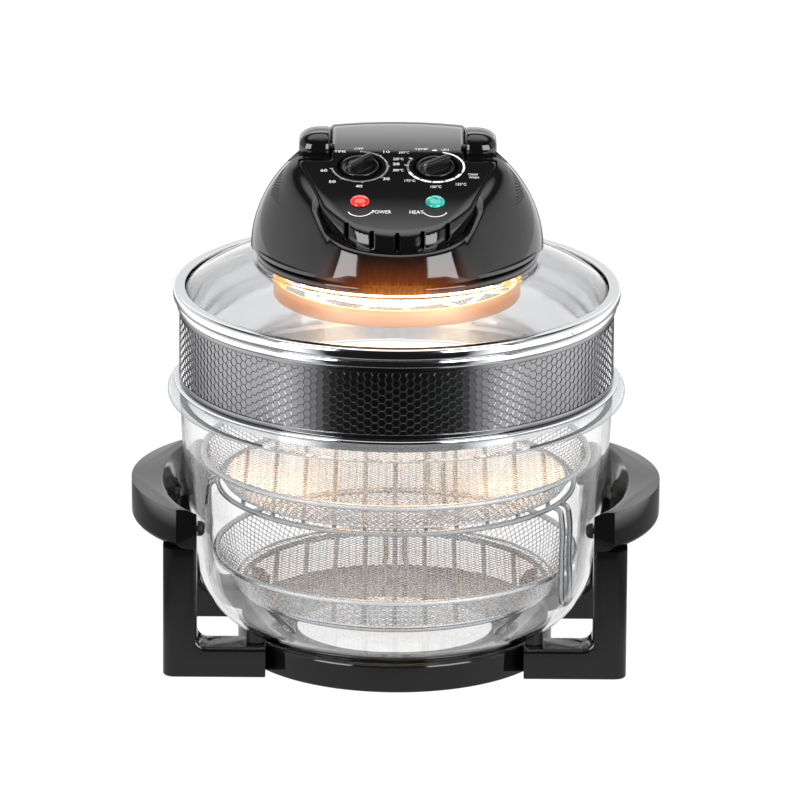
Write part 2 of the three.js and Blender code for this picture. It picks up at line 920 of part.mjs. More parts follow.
// Plan of the upper cover: a shield in front, the hump between the handle's arms behind.
function coverPlan(grow) {
  const right = [
    [panelNoseX, -panelNoseY - grow],
    [panelShoulderX + grow, -panelShoulderY - grow],
    [panelCheekX + grow, -panelCheekY],
    [panelBackX + grow, -panelBackY],
    [panelBackX + grow, -panelEndY + grow],
    [humpHalf + grow, -panelEndY + grow],
    [humpHalf + grow, humpEndY + grow],
  ];
  const left = right.map(([x, y]) => [-x, y]).reverse();
  return [[0, -panelTipY - grow], ...right, ...left];
}

// The band that a handle arm follows, seen from the side, grown by a margin.
function armBand(margin) {
  const spine = new THREE.CatmullRomCurve3(
    [
      [pivotY, pivotZ],
      [armCrestY, armCrestZ],
      [armShoulderY, armShoulderZ],
      [armElbowY, armElbowZ],
      [armEndY, armEndZ],
    ].map(([y, z]) => new THREE.Vector3(0, y, z)),
  );
  const half = handleThick / 2 + margin;
  const upper = [];
  const lower = [];
  for (let i = 0; i <= armCount; i += 1) {
    const p = spine.getPoint(i / armCount);
    const t = spine.getTangent(i / armCount);
    upper.push([p.y - half * t.z, p.z + half * t.y]);
    lower.push([p.y + half * t.z, p.z - half * t.y]);
  }
  return [...upper, ...lower.reverse()];
}

// A side-view outline of [y, z] pairs made into a slab between two x places.
function slab(outline, x0, x1) {
  const geometry = prism(outline, x0, x1);
  geometry.applyMatrix4(new THREE.Matrix4().set(0, 0, 1, 0, 1, 0, 0, 0, 0, 1, 0, 0, 0, 0, 0, 1));
  return geometry;
}

// The space that the handle's arms need in the mouldings, on both sides.
function armChannels(margin, innerX) {
  const halfRow = (side) => {
    const x0 = side * innerX;
    const x1 = side * handleOuterX + side * margin;
    const band = solid(slab(armBand(margin), Math.min(x0, x1), Math.max(x0, x1)));
    const boss = rod(handleBossRadius + margin, Math.min(x0, x1), Math.max(x0, x1));
    boss.rotateY(Math.PI / 2);
    boss.translate(0, pivotY, pivotZ);
    return band.add(solid(boss));
  };
  return halfRow(1).add(halfRow(-1));
}

// A slot outline standing on end in the nose of the cover.
function ventCuts() {
  let cuts = null;
  for (let i = 0; i < ventCount; i += 1) {
    const x = (i - (ventCount - 1) / 2) * ventPitch;
    const depth = Math.abs(x) > ventPitch * 1.5 ? panelCheekY : panelShoulderY;
    const low = panelZ(-panelNoseY, panelDrop - (panelDrop - ventHeight) / 2);
    const high = low + ventHeight;
    const cut = solid(
      block(x - ventWidth / 2, x + ventWidth / 2, -panelTipY - overrun, -depth, low, high + overrun),
    );
    cuts = cuts ? cuts.add(cut) : cut;
  }
  return cuts;
}

// Moves a geometry from panel axes to its place on the sloping panel.
function onPanel(geometry, x, y) {
  geometry.rotateX(panelTilt);
  geometry.translate(x, y, panelZ(y));
  return geometry;
}

function plungerTop() {
  const spine = armBand(0);
  const lower = spine.slice(armCount + 1);
  const offset = (p) => Math.abs(p[0] - plungerY);
  const near = lower.reduce((best, p) => (offset(p) < offset(best) ? p : best));
  return near[1] - channelGap + plungerProud;
}

function pinHoles() {
  const hole = rod(pinRadius + seatGap, -handleOuterX, handleOuterX);
  hole.rotateY(Math.PI / 2);
  hole.translate(0, pivotY, pivotZ);
  return solid(hole);
}

function upperCover() {
  const outside = domeBody(0, domeBottom).intersect(belowPanel(0));
  const plan = solid(prism(coverPlan(0), domeBottom, domeCentreZ + domeHeight + overrun));
  const skin = outside.intersect(plan).subtract(belowPanel(panelDrop));
  const roomPlan = solid(prism(coverPlan(-domeWall), domeBottom, domeCentreZ + domeHeight + overrun));
  const room = domeBody(domeWall, domeBottom + domeWall, insideCount)
    .intersect(belowPanel(panelSheet))
    .intersect(roomPlan);
  const wells = [-1, 1].map((side) => {
    const boss = onPanel(rod(wellRadius + wellWall, -wellDepth - wellWall, 0), side * dialX, -dialY);
    const bore = onPanel(rod(wellRadius, -wellDepth, overrun), side * dialX, -dialY);
    const bush = onPanel(rod(switchBushRadius + seatGap, -overrun, overrun), side * dialX, -dialY);
    return { boss: solid(boss), bore: solid(bore), bush: solid(bush) };
  });
  let made = skin.subtract(room);
  wells.forEach((well) => {
    made = made.add(well.boss.intersect(outside)).subtract(well.bore).subtract(well.bush);
  });
  [-1, 1].forEach((side) => {
    const hole = rod(lensStemRadius + seatGap, -overrun, overrun);
    made = made.subtract(solid(onPanel(hole, side * lensX, -lensY)));
  });
  const channels = armChannels(channelGap, handleInnerX - channelGap);
  return made.subtract(ventCuts()).subtract(channels).subtract(pinHoles());
}

// A rib on the inside of the dome that carries the interlock switch.
function interlockRib() {
  const top = plungerTop() - plungerLength - seatGap;
  const rib = block(
    -domeRadius,
    -plungerX - interlockWidth / 2 - seatGap,
    plungerY - interlockLength / 4,
    plungerY + interlockLength / 4,
    top - interlockHeight,
    top,
  );
  return solid(rib).intersect(domeBody(domeWall / 2, domeBottom));
}

function domeHousing() {
  const outside = domeBody(0, domeBottom).intersect(belowPanel(0));
  const high = domeCentreZ + domeHeight + overrun;
  const floorDrop = panelDrop + seatGap;
  const coverSpace = solid(prism(coverPlan(seatGap), domeBottom, high)).subtract(belowPanel(floorDrop));
  const shelf = solid(
    block(-shelfHalf, shelfHalf, -domeRadius - overrun, -panelCheekY, domeBottom, high),
  ).subtract(belowPanel(floorDrop));
  const neck = turned([
    [neckRadius - domeWall, neckBottom],
    [neckRadius, neckBottom],
    [neckRadius, domeBottom + domeWall],
    [neckRadius - domeWall, domeBottom + domeWall],
  ]);
  const rimDisc = turned([
    [neckRadius - domeWall, domeBottom],
    [domeRadius, domeBottom],
    [domeRadius, domeBottom + domeWall],
    [neckRadius - domeWall, domeBottom + domeWall],
  ]).intersect(domeBody(0, domeBottom));
  const mouthTop = domeBottom + domeWall + overrun;
  const mouth = solid(rod(neckRadius - domeWall, neckBottom - overrun, mouthTop, 0, 0, roundCount));
  const room = domeBody(domeWall, domeBottom + domeWall, insideCount)
    .intersect(belowPanel(floorDrop + domeWall))
    .subtract(armChannels(channelGap + domeWall, humpHalf - domeWall));
  const column = solid(prism(coverPlan(-2 * domeWall), domeBottom, high));
  const glandHole = rod(glandRadius - glandCollar + seatGap, 0, 2 * domeRadius);
  glandHole.rotateX(-Math.PI / 2);
  glandHole.translate(0, 0, glandZ);
  const plungerHole = solid(rod(plungerRadius + seatGap, domeCentreZ, high, -plungerX, plungerY));
  return outside
    .subtract(coverSpace)
    .subtract(shelf)
    .subtract(mouth)
    .subtract(room)
    .subtract(column)
    .add(neck)
    .add(rimDisc)
    .add(interlockRib())
    .subtract(armChannels(channelGap, humpHalf - seatGap))
    .subtract(solid(glandHole))
    .subtract(plungerHole);
}

function heaterPan() {
  const bore = panRadius - panWall;
  const flangeBottom = panFlangeTop - panWall;
  return turned([
    [bore, flangeBottom],
    [panFlangeRadius, flangeBottom],
    [panFlangeRadius, panFlangeTop],
    [panRadius, panFlangeTop],
    [panRadius, panTop],
    [panShaftHole, panTop],
    [panShaftHole, panTop - panWall],
    [bore, panTop - panWall],
  ]);
}

function halogenTube() {
  const sweep = 2 * Math.PI * (1 - tubeGapShare);
  const path = new THREE.CatmullRomCurve3(
    arc(0, 0, tubeRingRadius, -sweep / 2 - Math.PI / 2, sweep / 2 - Math.PI / 2, tubeGuides).map(
      ([x, y]) => new THREE.Vector3(x, y, tubeZ),
    ),
  );
  const section = new THREE.Shape(
    arc(0, 0, tubeRadius, 0, 2 * Math.PI, tubeSides)
      .slice(1)
      .map(([x, y]) => new THREE.Vector2(x, y)),
  );
  const options = { steps: tubeSteps, extrudePath: path, bevelEnabled: false };
  return solid(new THREE.ExtrudeGeometry(section, options));
}

// A ceramic holder at one end of the tube, hung below the pan's flange.
function tubeHolder(side) {
  const start = Math.PI * tubeGapShare;
  const top = panFlangeTop - panWall - seatGap;
  const body = block(
    tubeRingRadius - holderWidth / 2,
    panFlangeRadius - bracketFoot,
    -holderLength - seatGap,
    -seatGap,
    tubeZ - tubeRadius - panWall,
    top,
  );
  if (side > 0) body.scale(1, -1, 1);
  body.rotateZ(Math.PI / 2 - side * start);
  return solid(body);
}

function guardRing() {
  return turned([
    [guardRadius - guardSheet, guardBottom],
    [guardRadius, guardBottom],
    [guardRadius, guardBottom + guardHeight],
    [guardRadius - guardSheet, guardBottom + guardHeight],
  ]);
}

function guardGrille() {
  const outer = guardRadius - guardSheet - seatGap;
  const pitch = outer / (grilleRingCount + 0.5);
  const holes = [];
  for (let ring = 0; ring < grilleRingCount; ring += 1) {
    const near = pitch * (ring + 0.5) + grilleBar / 2;
    const far = pitch * (ring + 1.5) - grilleBar / 2 - (ring === grilleRingCount - 1 ? grilleBar / 2 : 0);
    for (let i = 0; i < grilleSectorCount; i += 1) {
      const middle = (2 * Math.PI * (i + 0.5)) / grilleSectorCount;
      const half = Math.PI / grilleSectorCount;
      const nearHalf = half - Math.asin(grilleBar / 2 / near);
      const farHalf = half - Math.asin(grilleBar / 2 / far);
      holes.push([
        [near * Math.cos(middle - nearHalf), near * Math.sin(middle - nearHalf)],
        [far * Math.cos(middle - farHalf), far * Math.sin(middle - farHalf)],
        [far * Math.cos(middle + farHalf), far * Math.sin(middle + farHalf)],
        [near * Math.cos(middle + nearHalf), near * Math.sin(middle + nearHalf)],
      ]);
    }
  }
  const round = arc(0, 0, outer, 0, 2 * Math.PI, roundCount).slice(1);
  return solid(prism(round, guardBottom, guardBottom + grilleSheet, holes));
}

// A folded strip from the pan's flange down to the inside of the guard ring.
function guardBracket(angle) {
  const inside = (guardRadius - guardSheet) * Math.cos(Math.PI / roundCount) - seatGap;
  const outer = Math.sqrt(inside ** 2 - (bracketWidth / 2) ** 2);
  const top = panFlangeTop - panWall - seatGap;
  const low = guardBottom + grilleSheet + seatGap;
  const upright = solid(block(outer - bracketSheet, outer, -bracketWidth / 2, bracketWidth / 2, low, top));
  const foot = solid(
    block(outer - bracketFoot, outer, -bracketWidth / 2, bracketWidth / 2, top - bracketSheet, top),
  );
  const geometry = shapeOf(upright.add(foot));
  geometry.rotateZ(angle);
  return geometry;
}

// A fan: a hub and its blades cut as one star, with a thin plate over their inner part.
function fan(radius, height, z) {
  const spread = Math.asin(bladeThick / 2 / fanHubRadius);
  const reach = Math.sqrt(radius ** 2 - (bladeThick / 2) ** 2);
  const star = [];
  for (let i = 0; i < bladeCount; i += 1) {
    const turn = (2 * Math.PI * i) / bladeCount;
    const next = (2 * Math.PI * (i + 1)) / bladeCount;
    const tip = Math.atan2(bladeThick / 2, reach);
    star.push(...arc(0, 0, radius, turn - tip, turn + tip, 1));
    star.push(...arc(0, 0, fanHubRadius, turn + spread, next - spread, 2));
  }
  const bore = arc(0, 0, shaftRadius + seatGap, 0, 2 * Math.PI, smallRoundCount).slice(1);
  const plate = arc(0, 0, radius * fanWebShare, 0, 2 * Math.PI, 2 * bladeCount).slice(1);
  const blades = solid(prism(star, z, z + height, [bore]));
  return blades.add(solid(prism(plate, z + height - bladeThick, z + height, [bore])));
}

function fanMotor() {
  const bore = shaftRadius + runningGap;
  const top = motorBottom + motorHeight;
  const waist = motorHeight * motorWaistShare;
  return turned([
    [bore, motorBottom],
    [motorRadius, motorBottom],
    [motorRadius, top - waist],
    [motorRadius * motorTopShare, top],
    [0, top],
    [0, motorBottom + motorBoreDepth],
    [bore, motorBottom + motorBoreDepth],
  ], smallRoundCount);
}

// The bridge that holds the motor over the heater pan: a ring on three legs.
function motorBridge() {
  const top = motorBottom - seatGap;
  const low = top - bridgeSheet;
  let made = turned([
    [fanHubRadius + runningGap, low],
    [motorRadius, low],
    [motorRadius, top],
    [fanHubRadius + runningGap, top],
  ], smallRoundCount);
  for (let i = 0; i < 3; i += 1) {
    const turn = (2 * Math.PI * i) / 3 + Math.PI / 2;
    const half = bridgeWidth / 2;
    const footInner = bridgeFootRadius - bridgeSheet;
    const arm = block(motorRadius - half, bridgeFootRadius, -half, half, low, top);
    const drop = block(footInner, bridgeFootRadius, -half, half, panTop + seatGap, top);
    arm.rotateZ(turn);
    drop.rotateZ(turn);
    made = made.add(solid(arm)).add(solid(drop));
  }
  return made;
}

// A dial knob in panel axes: a round skirt with a tapered grip bar across it.
function knob() {
  const bottom = runningGap - wellDepth;
  const top = bottom + knobSkirt;
  const skirt = turned([
    [0, bottom],
    [knobRadius, bottom],
    [knobRadius, top - knobBarTaper / 2],
    [knobRadius - knobBarTaper / 2, top],
    [0, top],
  ], smallRoundCount + 4);
  const half = knobRadius - knobBarTaper / 2;
  const crest = top + knobBarHeight;
  const bar = loft([
    [
      new THREE.Vector3(-knobBarWidth / 2, -half, top - knobBarTaper),
      new THREE.Vector3(knobBarWidth / 2, -half, top - knobBarTaper),
      new THREE.Vector3(knobBarWidth / 2, half, top - knobBarTaper),
      new THREE.Vector3(-knobBarWidth / 2, half, top - knobBarTaper),
    ],
    [
      new THREE.Vector3(-knobBarTaper / 2, knobBarTaper - half, crest),
      new THREE.Vector3(knobBarTaper / 2, knobBarTaper - half, crest),
      new THREE.Vector3(knobBarTaper / 2, half - knobBarTaper, crest),
      new THREE.Vector3(-knobBarTaper / 2, half - knobBarTaper, crest),
    ],
  ]);
  const socket = rod(knobBore, bottom - overrun, top - knobBarTaper / 2);
  return skirt.add(solid(bar)).subtract(solid(socket));
}

function dialSet(name, side, bodyName) {
  const group = new THREE.Group();
  group.position.set(side * dialX, -dialY, panelZ(-dialY));
  group.rotation.x = panelTilt;
  const floor = -wellDepth - wellWall - seatGap;
  const bushTop = switchBushHeight - wellDepth - wellWall;
  const knobFloor = runningGap - wellDepth + knobSkirt - knobBarTaper / 2;
  const half = switchBodyHalf;
  const body = solid(block(-half, half, -half, half, floor - switchBodyDepth, floor));
  const bush = solid(rod(switchBushRadius, floor - seatGap, bushTop));
  const bore = solid(rod(spindleRadius + seatGap, floor - spindleReach, bushTop + overrun));
  const spindle = rod(spindleRadius, floor - spindleReach + seatGap, knobFloor - seatGap);
  const turnedKnob = piece(`${name}_knob`, knob(), satinBlack);
  turnedKnob.rotation.z = -dialRestTurns[name];
  group.add(turnedKnob);
  group.add(piece(`${name}_spindle`, spindle, steel));
  group.add(piece(bodyName, body.add(bush).subtract(bore), satinBlack));
  return group;
}

// An indicator lens and the neon lamp in its bore.
function lensSet(name, side, finish) {
  const group = new THREE.Group();
  group.position.set(side * lensX, -lensY, panelZ(-lensY));
  group.rotation.x = panelTilt;
  const lens = turned([
    [lensBore, -lensStemDepth],
    [lensStemRadius, -lensStemDepth],
    [lensStemRadius, seatGap],
    [lensRadius, seatGap],
    ...bend(
      [
        [lensRadius, seatGap],
        [lensRadius, lensRise],
        [0, lensRise],
      ],
      roundingSteps,
    ),
    [0, seatGap],
    [lensBore, seatGap],
  ], smallRoundCount);
  group.add(piece(`${name}_lens`, lens, finish));
  group.add(piece(`${name}_neon`, rod(neonRadius, -lensStemDepth - neonLength / 2, -seatGap), quartz));
  return group;
}

function carryHandle() {
  const arm = (x0, x1) => {
    const band = solid(slab(armBand(0), x0, x1));
    const boss = rod(handleBossRadius, x0, x1);
    boss.rotateY(Math.PI / 2);
    boss.translate(0, pivotY, pivotZ);
    return band.add(solid(boss));
  };
  const outline = armBand(0);
  const bar = outline.slice(armCount - barRows, armCount + barRows + 2);
  return arm(handleInnerX, handleOuterX)
    .add(arm(-handleOuterX, -handleInnerX))
    .add(solid(slab(bar, -handleOuterX, handleOuterX)))
    .subtract(pinHoles());
}

// A pin through the boss of one arm, seated in the hump's side wall.
function handlePin(side) {
  const pin = rod(pinRadius, humpHalf - pinSeat, handleInnerX + pinReach);
  pin.rotateY((side * Math.PI) / 2);
  pin.translate(0, pivotY, pivotZ);
  return pin;
}

function cordGland() {
  const seat = domeRadius * Math.sqrt(1 - ((glandZ - domeCentreZ) / domeHeight) ** 2);
  const collar = seat + seatGap;
  const gland = turned([
    [glandBore, -domeWall * 2],
    [glandRadius - glandCollar, -domeWall * 2],
    [glandRadius - glandCollar, collar - seat + glandCollar],
    [glandRadius, collar - seat + glandCollar],
    [glandRadius - glandCollar, glandProud],
    [glandBore, glandProud],
  ], smallRoundCount);
  const geometry = shapeOf(gland);
  geometry.rotateX(-Math.PI / 2);
  geometry.translate(0, seat, glandZ);
  return geometry;
}

function lidGroup() {
  const group = new THREE.Group();
  group.add(piece("lid_rim", lidRim(), chrome));
  group.add(piece("lid_glass", lidGlassPlate(), clearGlass));
  group.add(piece("skirt_ring", skirtRing(), glossBlack));
  group.add(piece("dome_housing", domeHousing(), glossBlack));
  group.add(piece("upper_cover", upperCover(), glossBlack));
  group.add(piece("heater_pan", heaterPan(), steel));
  group.add(piece("halogen_tube", halogenTube(), quartz));
  group.add(piece("left_tube_holder", tubeHolder(-1), ceramic));
  group.add(piece("right_tube_holder", tubeHolder(1), ceramic));
  group.add(piece("guard_ring", guardRing(), steel));
  group.add(piece("guard_grille", guardGrille(), steel));
  bracketTurnShares.forEach((share, i) => {
    group.add(piece(`guard_bracket_${i + 1}`, guardBracket(share * Math.PI), steel));
  });
  group.add(piece("motor_bridge", motorBridge(), steel));
  group.add(piece("fan_motor", fanMotor(), steel));
  const shaftTop = motorBottom + motorBoreDepth - runningGap;
  group.add(piece("fan_shaft", rod(shaftRadius, shaftBottom, shaftTop), steel));
  group.add(piece("convection_fan", fan(convectionFanRadius, convectionFanHeight, convectionFanZ), steel));
  group.add(piece("cooling_fan", fan(coolingFanRadius, coolingFanHeight, coolingFanZ), satinBlack));
  group.add(dialSet("timer", -1, "timer_body"));
  group.add(dialSet("thermostat", 1, "thermostat_body"));
  group.add(lensSet("power", -1, redLens));
  group.add(lensSet("heat", 1, greenLens));
  group.add(piece("carry_handle", carryHandle(), glossBlack));
  group.add(piece("left_handle_pin", handlePin(-1), steel));
  group.add(piece("right_handle_pin", handlePin(1), steel));
  const top = plungerTop();
  const plunger = rod(plungerRadius, top - plungerLength, top, -plungerX, plungerY);
  group.add(piece("interlock_plunger", plunger, ceramic));
  const switchTop = top - plungerLength - seatGap;
  group.add(
    piece(
      "interlock_switch",
      block(
        -plungerX - interlockWidth / 2,
        -plungerX + interlockWidth / 2,
        plungerY - interlockLength / 2,
        plungerY + interlockLength / 2,
        switchTop - interlockHeight,
        switchTop,
      ),
      satinBlack,
    ),
  );
  group.add(piece("cord_gland", cordGland(), rubber));
  return group;
}

function extenderGroup() {
  const group = new THREE.Group();
  group.add(piece("extender_ring", extenderRing(), chrome));
  group.add(piece("extender_sleeve", extenderSleeve(), satinBlack));
  return group;
}

const halogenOven = new THREE.Group();
halogenOven.add(standGroup(), bowlGroup(), extenderGroup(), lidGroup());

export default halogenOven;
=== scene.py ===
from math import cos, hypot, pi, radians, sin, sqrt, tan

import bmesh
import bpy
import numpy as np
from mathutils import Matrix, Vector


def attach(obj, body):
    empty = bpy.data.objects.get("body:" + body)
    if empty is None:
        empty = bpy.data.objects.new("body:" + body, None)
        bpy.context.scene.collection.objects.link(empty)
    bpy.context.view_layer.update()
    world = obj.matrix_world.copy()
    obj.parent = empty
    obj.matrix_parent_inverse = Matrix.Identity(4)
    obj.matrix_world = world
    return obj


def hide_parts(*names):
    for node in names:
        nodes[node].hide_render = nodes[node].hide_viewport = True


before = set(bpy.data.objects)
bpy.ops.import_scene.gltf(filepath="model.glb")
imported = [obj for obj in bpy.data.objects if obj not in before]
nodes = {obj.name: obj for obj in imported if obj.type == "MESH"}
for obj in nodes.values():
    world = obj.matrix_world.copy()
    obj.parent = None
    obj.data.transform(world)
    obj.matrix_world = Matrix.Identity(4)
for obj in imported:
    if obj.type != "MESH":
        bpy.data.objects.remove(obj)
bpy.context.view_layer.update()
scene = bpy.context.scene

# Camera: far back and a little above the lid, looking down on the oven's front.
# The lens is long, so the bowl's rings are nearly true ellipses.
CAMERA_PLACE, LOOK_DOWN, CAMERA_ROLL = (0, -7.05213, 2.40613), 17.468, 0.373
camera_data = bpy.data.cameras.new("camera")
camera_data.lens = 453.94
camera_data.sensor_width = 36
camera_data.shift_x = 0.00475
camera_data.clip_end = 40
camera = bpy.data.objects.new("camera", camera_data)
camera.matrix_world = (
    Matrix.Translation(CAMERA_PLACE)
    @ Matrix.Rotation(radians(90 - LOOK_DOWN), 4, "X")
    @ Matrix.Rotation(radians(CAMERA_ROLL), 4, "Z")
)
scene.collection.objects.link(camera)
scene.camera = camera
scene.view_settings.view_transform = "Standard"
scene.view_settings.look = "None"


# Base ring: an injection-moulded gloss black ABS ring that carries the whole oven.
# A shallow floor inside it closes the mould, with a round bore in the middle.
MM = 0.001
RING_IN, RING_OUT, RING_HIGH = 112, 115.6, 21
FLOOR_BORE, FLOOR_LOW, FLOOR_TOP = 72, 7.5, 10.5


def linear(code):
    """A colour written as sRGB hex, as linear RGBA."""
    parts = [int(code[i:i + 2], 16) / 255 for i in (1, 3, 5)]
    return [c / 12.92 if c <= 0.04045 else ((c + 0.055) / 1.055) ** 2.4 for c in parts] + [1.0]


def add(tree, kind, settings=None, **links):
    """Adds a node; settings are attributes or socket values, links name the sockets fed by others."""
    node = tree.nodes.new(kind)
    for name, value in (settings or {}).items():
        if isinstance(name, int) or name in node.inputs:
            node.inputs[name].default_value = value
        else:
            setattr(node, name, value)
    for name, source in links.items():
        target = node.inputs[int(name[1:])] if name[1:].isdigit() else node.inputs[name.replace("_", " ")]
        tree.links.new(source, target)
    return node


def finish(name, **sockets):
    """A material with a Principled shader, its sockets set to the given values."""
    material = bpy.data.materials.new(name)
    material.use_nodes = True
    tree = material.node_tree
    shader = tree.nodes["Principled BSDF"]
    for key, value in sockets.items():
        shader.inputs[key.replace("_", " ")].default_value = value
    return material, tree, shader


def grain(tree, shader, size, low, high, bump=0.0, stretch=(1, 1, 1), where="Object"):
    """Noise of a size in millimetres that varies the roughness and raises a fine bump."""
    place = add(tree, "ShaderNodeTexCoord")
    turned = add(tree, "ShaderNodeMapping", {"Scale": stretch}, Vector=place.outputs[where])
    speckle = add(tree, "ShaderNodeTexNoise", {"Scale": 1 / (size * MM), "Detail": 3.0},
                  Vector=turned.outputs[0])
    spread = add(tree, "ShaderNodeMapRange", {"To Min": low, "To Max": high}, Value=speckle.outputs[0])
    tree.links.new(spread.outputs[0], shader.inputs["Roughness"])
    if bump:
        raised = add(tree, "ShaderNodeBump", {"Strength": 1.0, "Distance": bump * MM},
                     Height=speckle.outputs[0])
        tree.links.new(raised.outputs[0], shader.inputs["Normal"])
    return speckle


def piece(name, form, material, body, replaced=(), smooth=32):
    """Puts a finished bmesh, in millimetres, into the scene as one piece of the oven."""
    bmesh.ops.scale(form, vec=(MM, MM, MM), verts=form.verts)
    mesh = bpy.data.meshes.new(name)
    form.to_mesh(mesh)
    form.free()
    return placed(name, mesh, material, body, replaced, smooth)


def placed(name, mesh, material, body, replaced=(), smooth=32):
    """Links a mesh, in metres, as a piece that rides on a body and stands for CAD nodes."""
    mesh.shade_smooth()
    mesh.set_sharp_from_angle(angle=radians(smooth))
    made = bpy.data.objects.new(name, mesh)
    scene.collection.objects.link(made)
    made.data.materials.clear()
    made.data.materials.append(material)
    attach(made, body)
    if replaced:
        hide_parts(*replaced)
    return made


def clean(form):
    """Merges doubles and turns every face outwards."""
    bmesh.ops.remove_doubles(form, verts=form.verts, dist=0.002)
    bmesh.ops.recalc_face_normals(form, faces=form.faces)
    return form


def turned(profile, radii=None, steps=160):
    """Spins a closed profile of (radius, height) pairs; radii rounds its corners by index."""
    form = bmesh.new()
    start = [form.verts.new((r, 0, z)) for r, z in profile]
    form.faces.new(start)
    by_size = {}
    for index, size in (radii or {}).items():
        by_size.setdefault(size, []).append(start[index])
    for size, corners in by_size.items():
        bmesh.ops.bevel(form, geom=corners, offset=size, offset_type="OFFSET", affect="VERTICES",
                        segments=5, profile=0.5, material=-1)
    bmesh.ops.delete(form, geom=form.faces[:], context="FACES_ONLY")
    on_axis = [e for e in form.edges if all(v.co.x < 1e-6 for v in e.verts)]
    bmesh.ops.delete(form, geom=on_axis, context="EDGES")
    bmesh.ops.spin(form, geom=form.verts[:] + form.edges[:], cent=(0, 0, 0), axis=(0, 0, 1), angle=2 * pi,
                   steps=steps, use_merge=True, use_duplicate=False)
    return clean(form)


# ABS moulded against a polished tool: near-black, mirror-like, with a faint orange peel.
gloss_black, tree, shader = finish("polished black ABS", Base_Color=linear("#0c0c0d"), IOR=1.5)
grain(tree, shader, 9, 0.05, 0.085, bump=0.006)

ring = turned(
    [(FLOOR_BORE, FLOOR_LOW), (RING_IN, FLOOR_LOW), (RING_IN, 0), (RING_OUT, 0), (RING_OUT, RING_HIGH),
     (RING_IN, RING_HIGH), (RING_IN, FLOOR_TOP), (FLOOR_BORE, FLOOR_TOP)],
    {2: 0.5, 3: 0.8, 4: 2.4, 5: 0.8, 0: 0.6, 7: 0.6},
)
piece("base_ring_moulding", ring, gloss_black, "stand", ["base_ring"])


# Legs: four gloss black L mouldings, each a foot out from the ring and a post up to a grip.
# Their outer corner is well rounded, and a soft bead runs up the inner edge and along the foot.
POST_OUTER, POST_INNER, FOOT_INNER = 169.3, 144.6, 94.3
LEG_FRONT, LEG_BACK, FOOT_HIGH, POST_HIGH = 84.2, 53.6, 22.8, 98.2
ELBOW, OUTER_ROUND, BEAD_ROUND, SOLE_ROUND = 8, 8.5, 3.2, 1.4


def rounded(form, edges, size, segments=4):
    """Rounds some of a form's edges to a size."""
    bmesh.ops.bevel(form, geom=edges, offset=size, offset_type="OFFSET", affect="EDGES",
                    segments=segments, profile=0.5, material=-1, clamp_overlap=True)


def leg_form():
    """The leg at the front right."""
    form = bmesh.new()
    outline = [(FOOT_INNER, 0), (POST_OUTER, 0), (POST_OUTER, POST_HIGH), (POST_INNER, POST_HIGH),
               (POST_INNER, FOOT_HIGH), (FOOT_INNER, FOOT_HIGH)]
    corners = [form.verts.new((x, -LEG_FRONT, z)) for x, z in outline]
    form.faces.new(corners)
    bmesh.ops.bevel(form, geom=[corners[4]], offset=ELBOW, affect="VERTICES", segments=6, profile=0.5,
                    material=-1)
    made = bmesh.ops.extrude_face_region(form, geom=form.faces[:])
    bmesh.ops.translate(form, vec=(0, LEG_FRONT - LEG_BACK, 0),
                        verts=[v for v in made["geom"] if isinstance(v, bmesh.types.BMVert)])
    clean(form)
    outer = [e for e in form.edges
             if all(abs(v.co.x - POST_OUTER) < 0.01 for v in e.verts) and
             abs(e.verts[0].co.y - e.verts[1].co.y) < 0.01]
    rounded(form, outer, OUTER_ROUND, 8)
    inner = [e for e in form.edges
             if abs(e.verts[0].co.y - e.verts[1].co.y) < 0.01
             and (abs(e.verts[0].co.y + LEG_FRONT) < 0.01 or abs(e.verts[0].co.y + LEG_BACK) < 0.01)
             and all(v.co.x < POST_INNER + 0.1 and v.co.z > FOOT_HIGH - 0.1 for v in e.verts)]
    rounded(form, inner, BEAD_ROUND, 5)
    foot = [e for e in form.edges
            if all(v.co.z < 0.01 for v in e.verts) and e.calc_face_angle(0) > 0.8]
    rounded(form, foot, SOLE_ROUND, 3)
    return form


def mirrored(form, x=1, y=1):
    """Turns a front right form into one at another corner."""
    bmesh.ops.scale(form, vec=(x, y, 1), verts=form.verts)
    bmesh.ops.recalc_face_normals(form, faces=form.faces)
    return form


CORNERS = {"front_left": (-1, 1), "front_right": (1, 1), "rear_left": (-1, -1), "rear_right": (1, -1)}
for place, (x, y) in CORNERS.items():
    piece(f"{place}_leg_moulding", mirrored(leg_form(), x, y), gloss_black, "stand",
          [f"{place}_leg"])


# Grips: two D-shaped gloss black mouldings, each pushed down on the tops of two posts.
# The top is dished round the finger gap beside the bowl, and the outer wall is rounded underneath.
GRIP_ARC_X, GRIP_ARC = 74, 120
GRIP_LOW, GRIP_HIGH = 98.5, 128.5
HOLE_X, HOLE_HALF, DISH_X, DISH_HALF, DISH_MIDDLE = 162, 54, 171.5, 118, 100
UNDER_ROUND, GRIP_SOFT = 6, 1.1


def temporary(form):
    """An object that holds a form for a modifier; the form is freed."""
    mesh = bpy.data.meshes.new("tool")
    form.to_mesh(mesh)
    form.free()
    made = bpy.data.objects.new("tool", mesh)
    scene.collection.objects.link(made)
    return made


def evaluated(made):
    """The object's mesh with its modifiers applied, as a bmesh; the object is removed."""
    form = bmesh.new()
    form.from_mesh(made.evaluated_get(bpy.context.evaluated_depsgraph_get()).to_mesh())
    mesh = made.data
    bpy.data.objects.remove(made)
    bpy.data.meshes.remove(mesh)
    return form


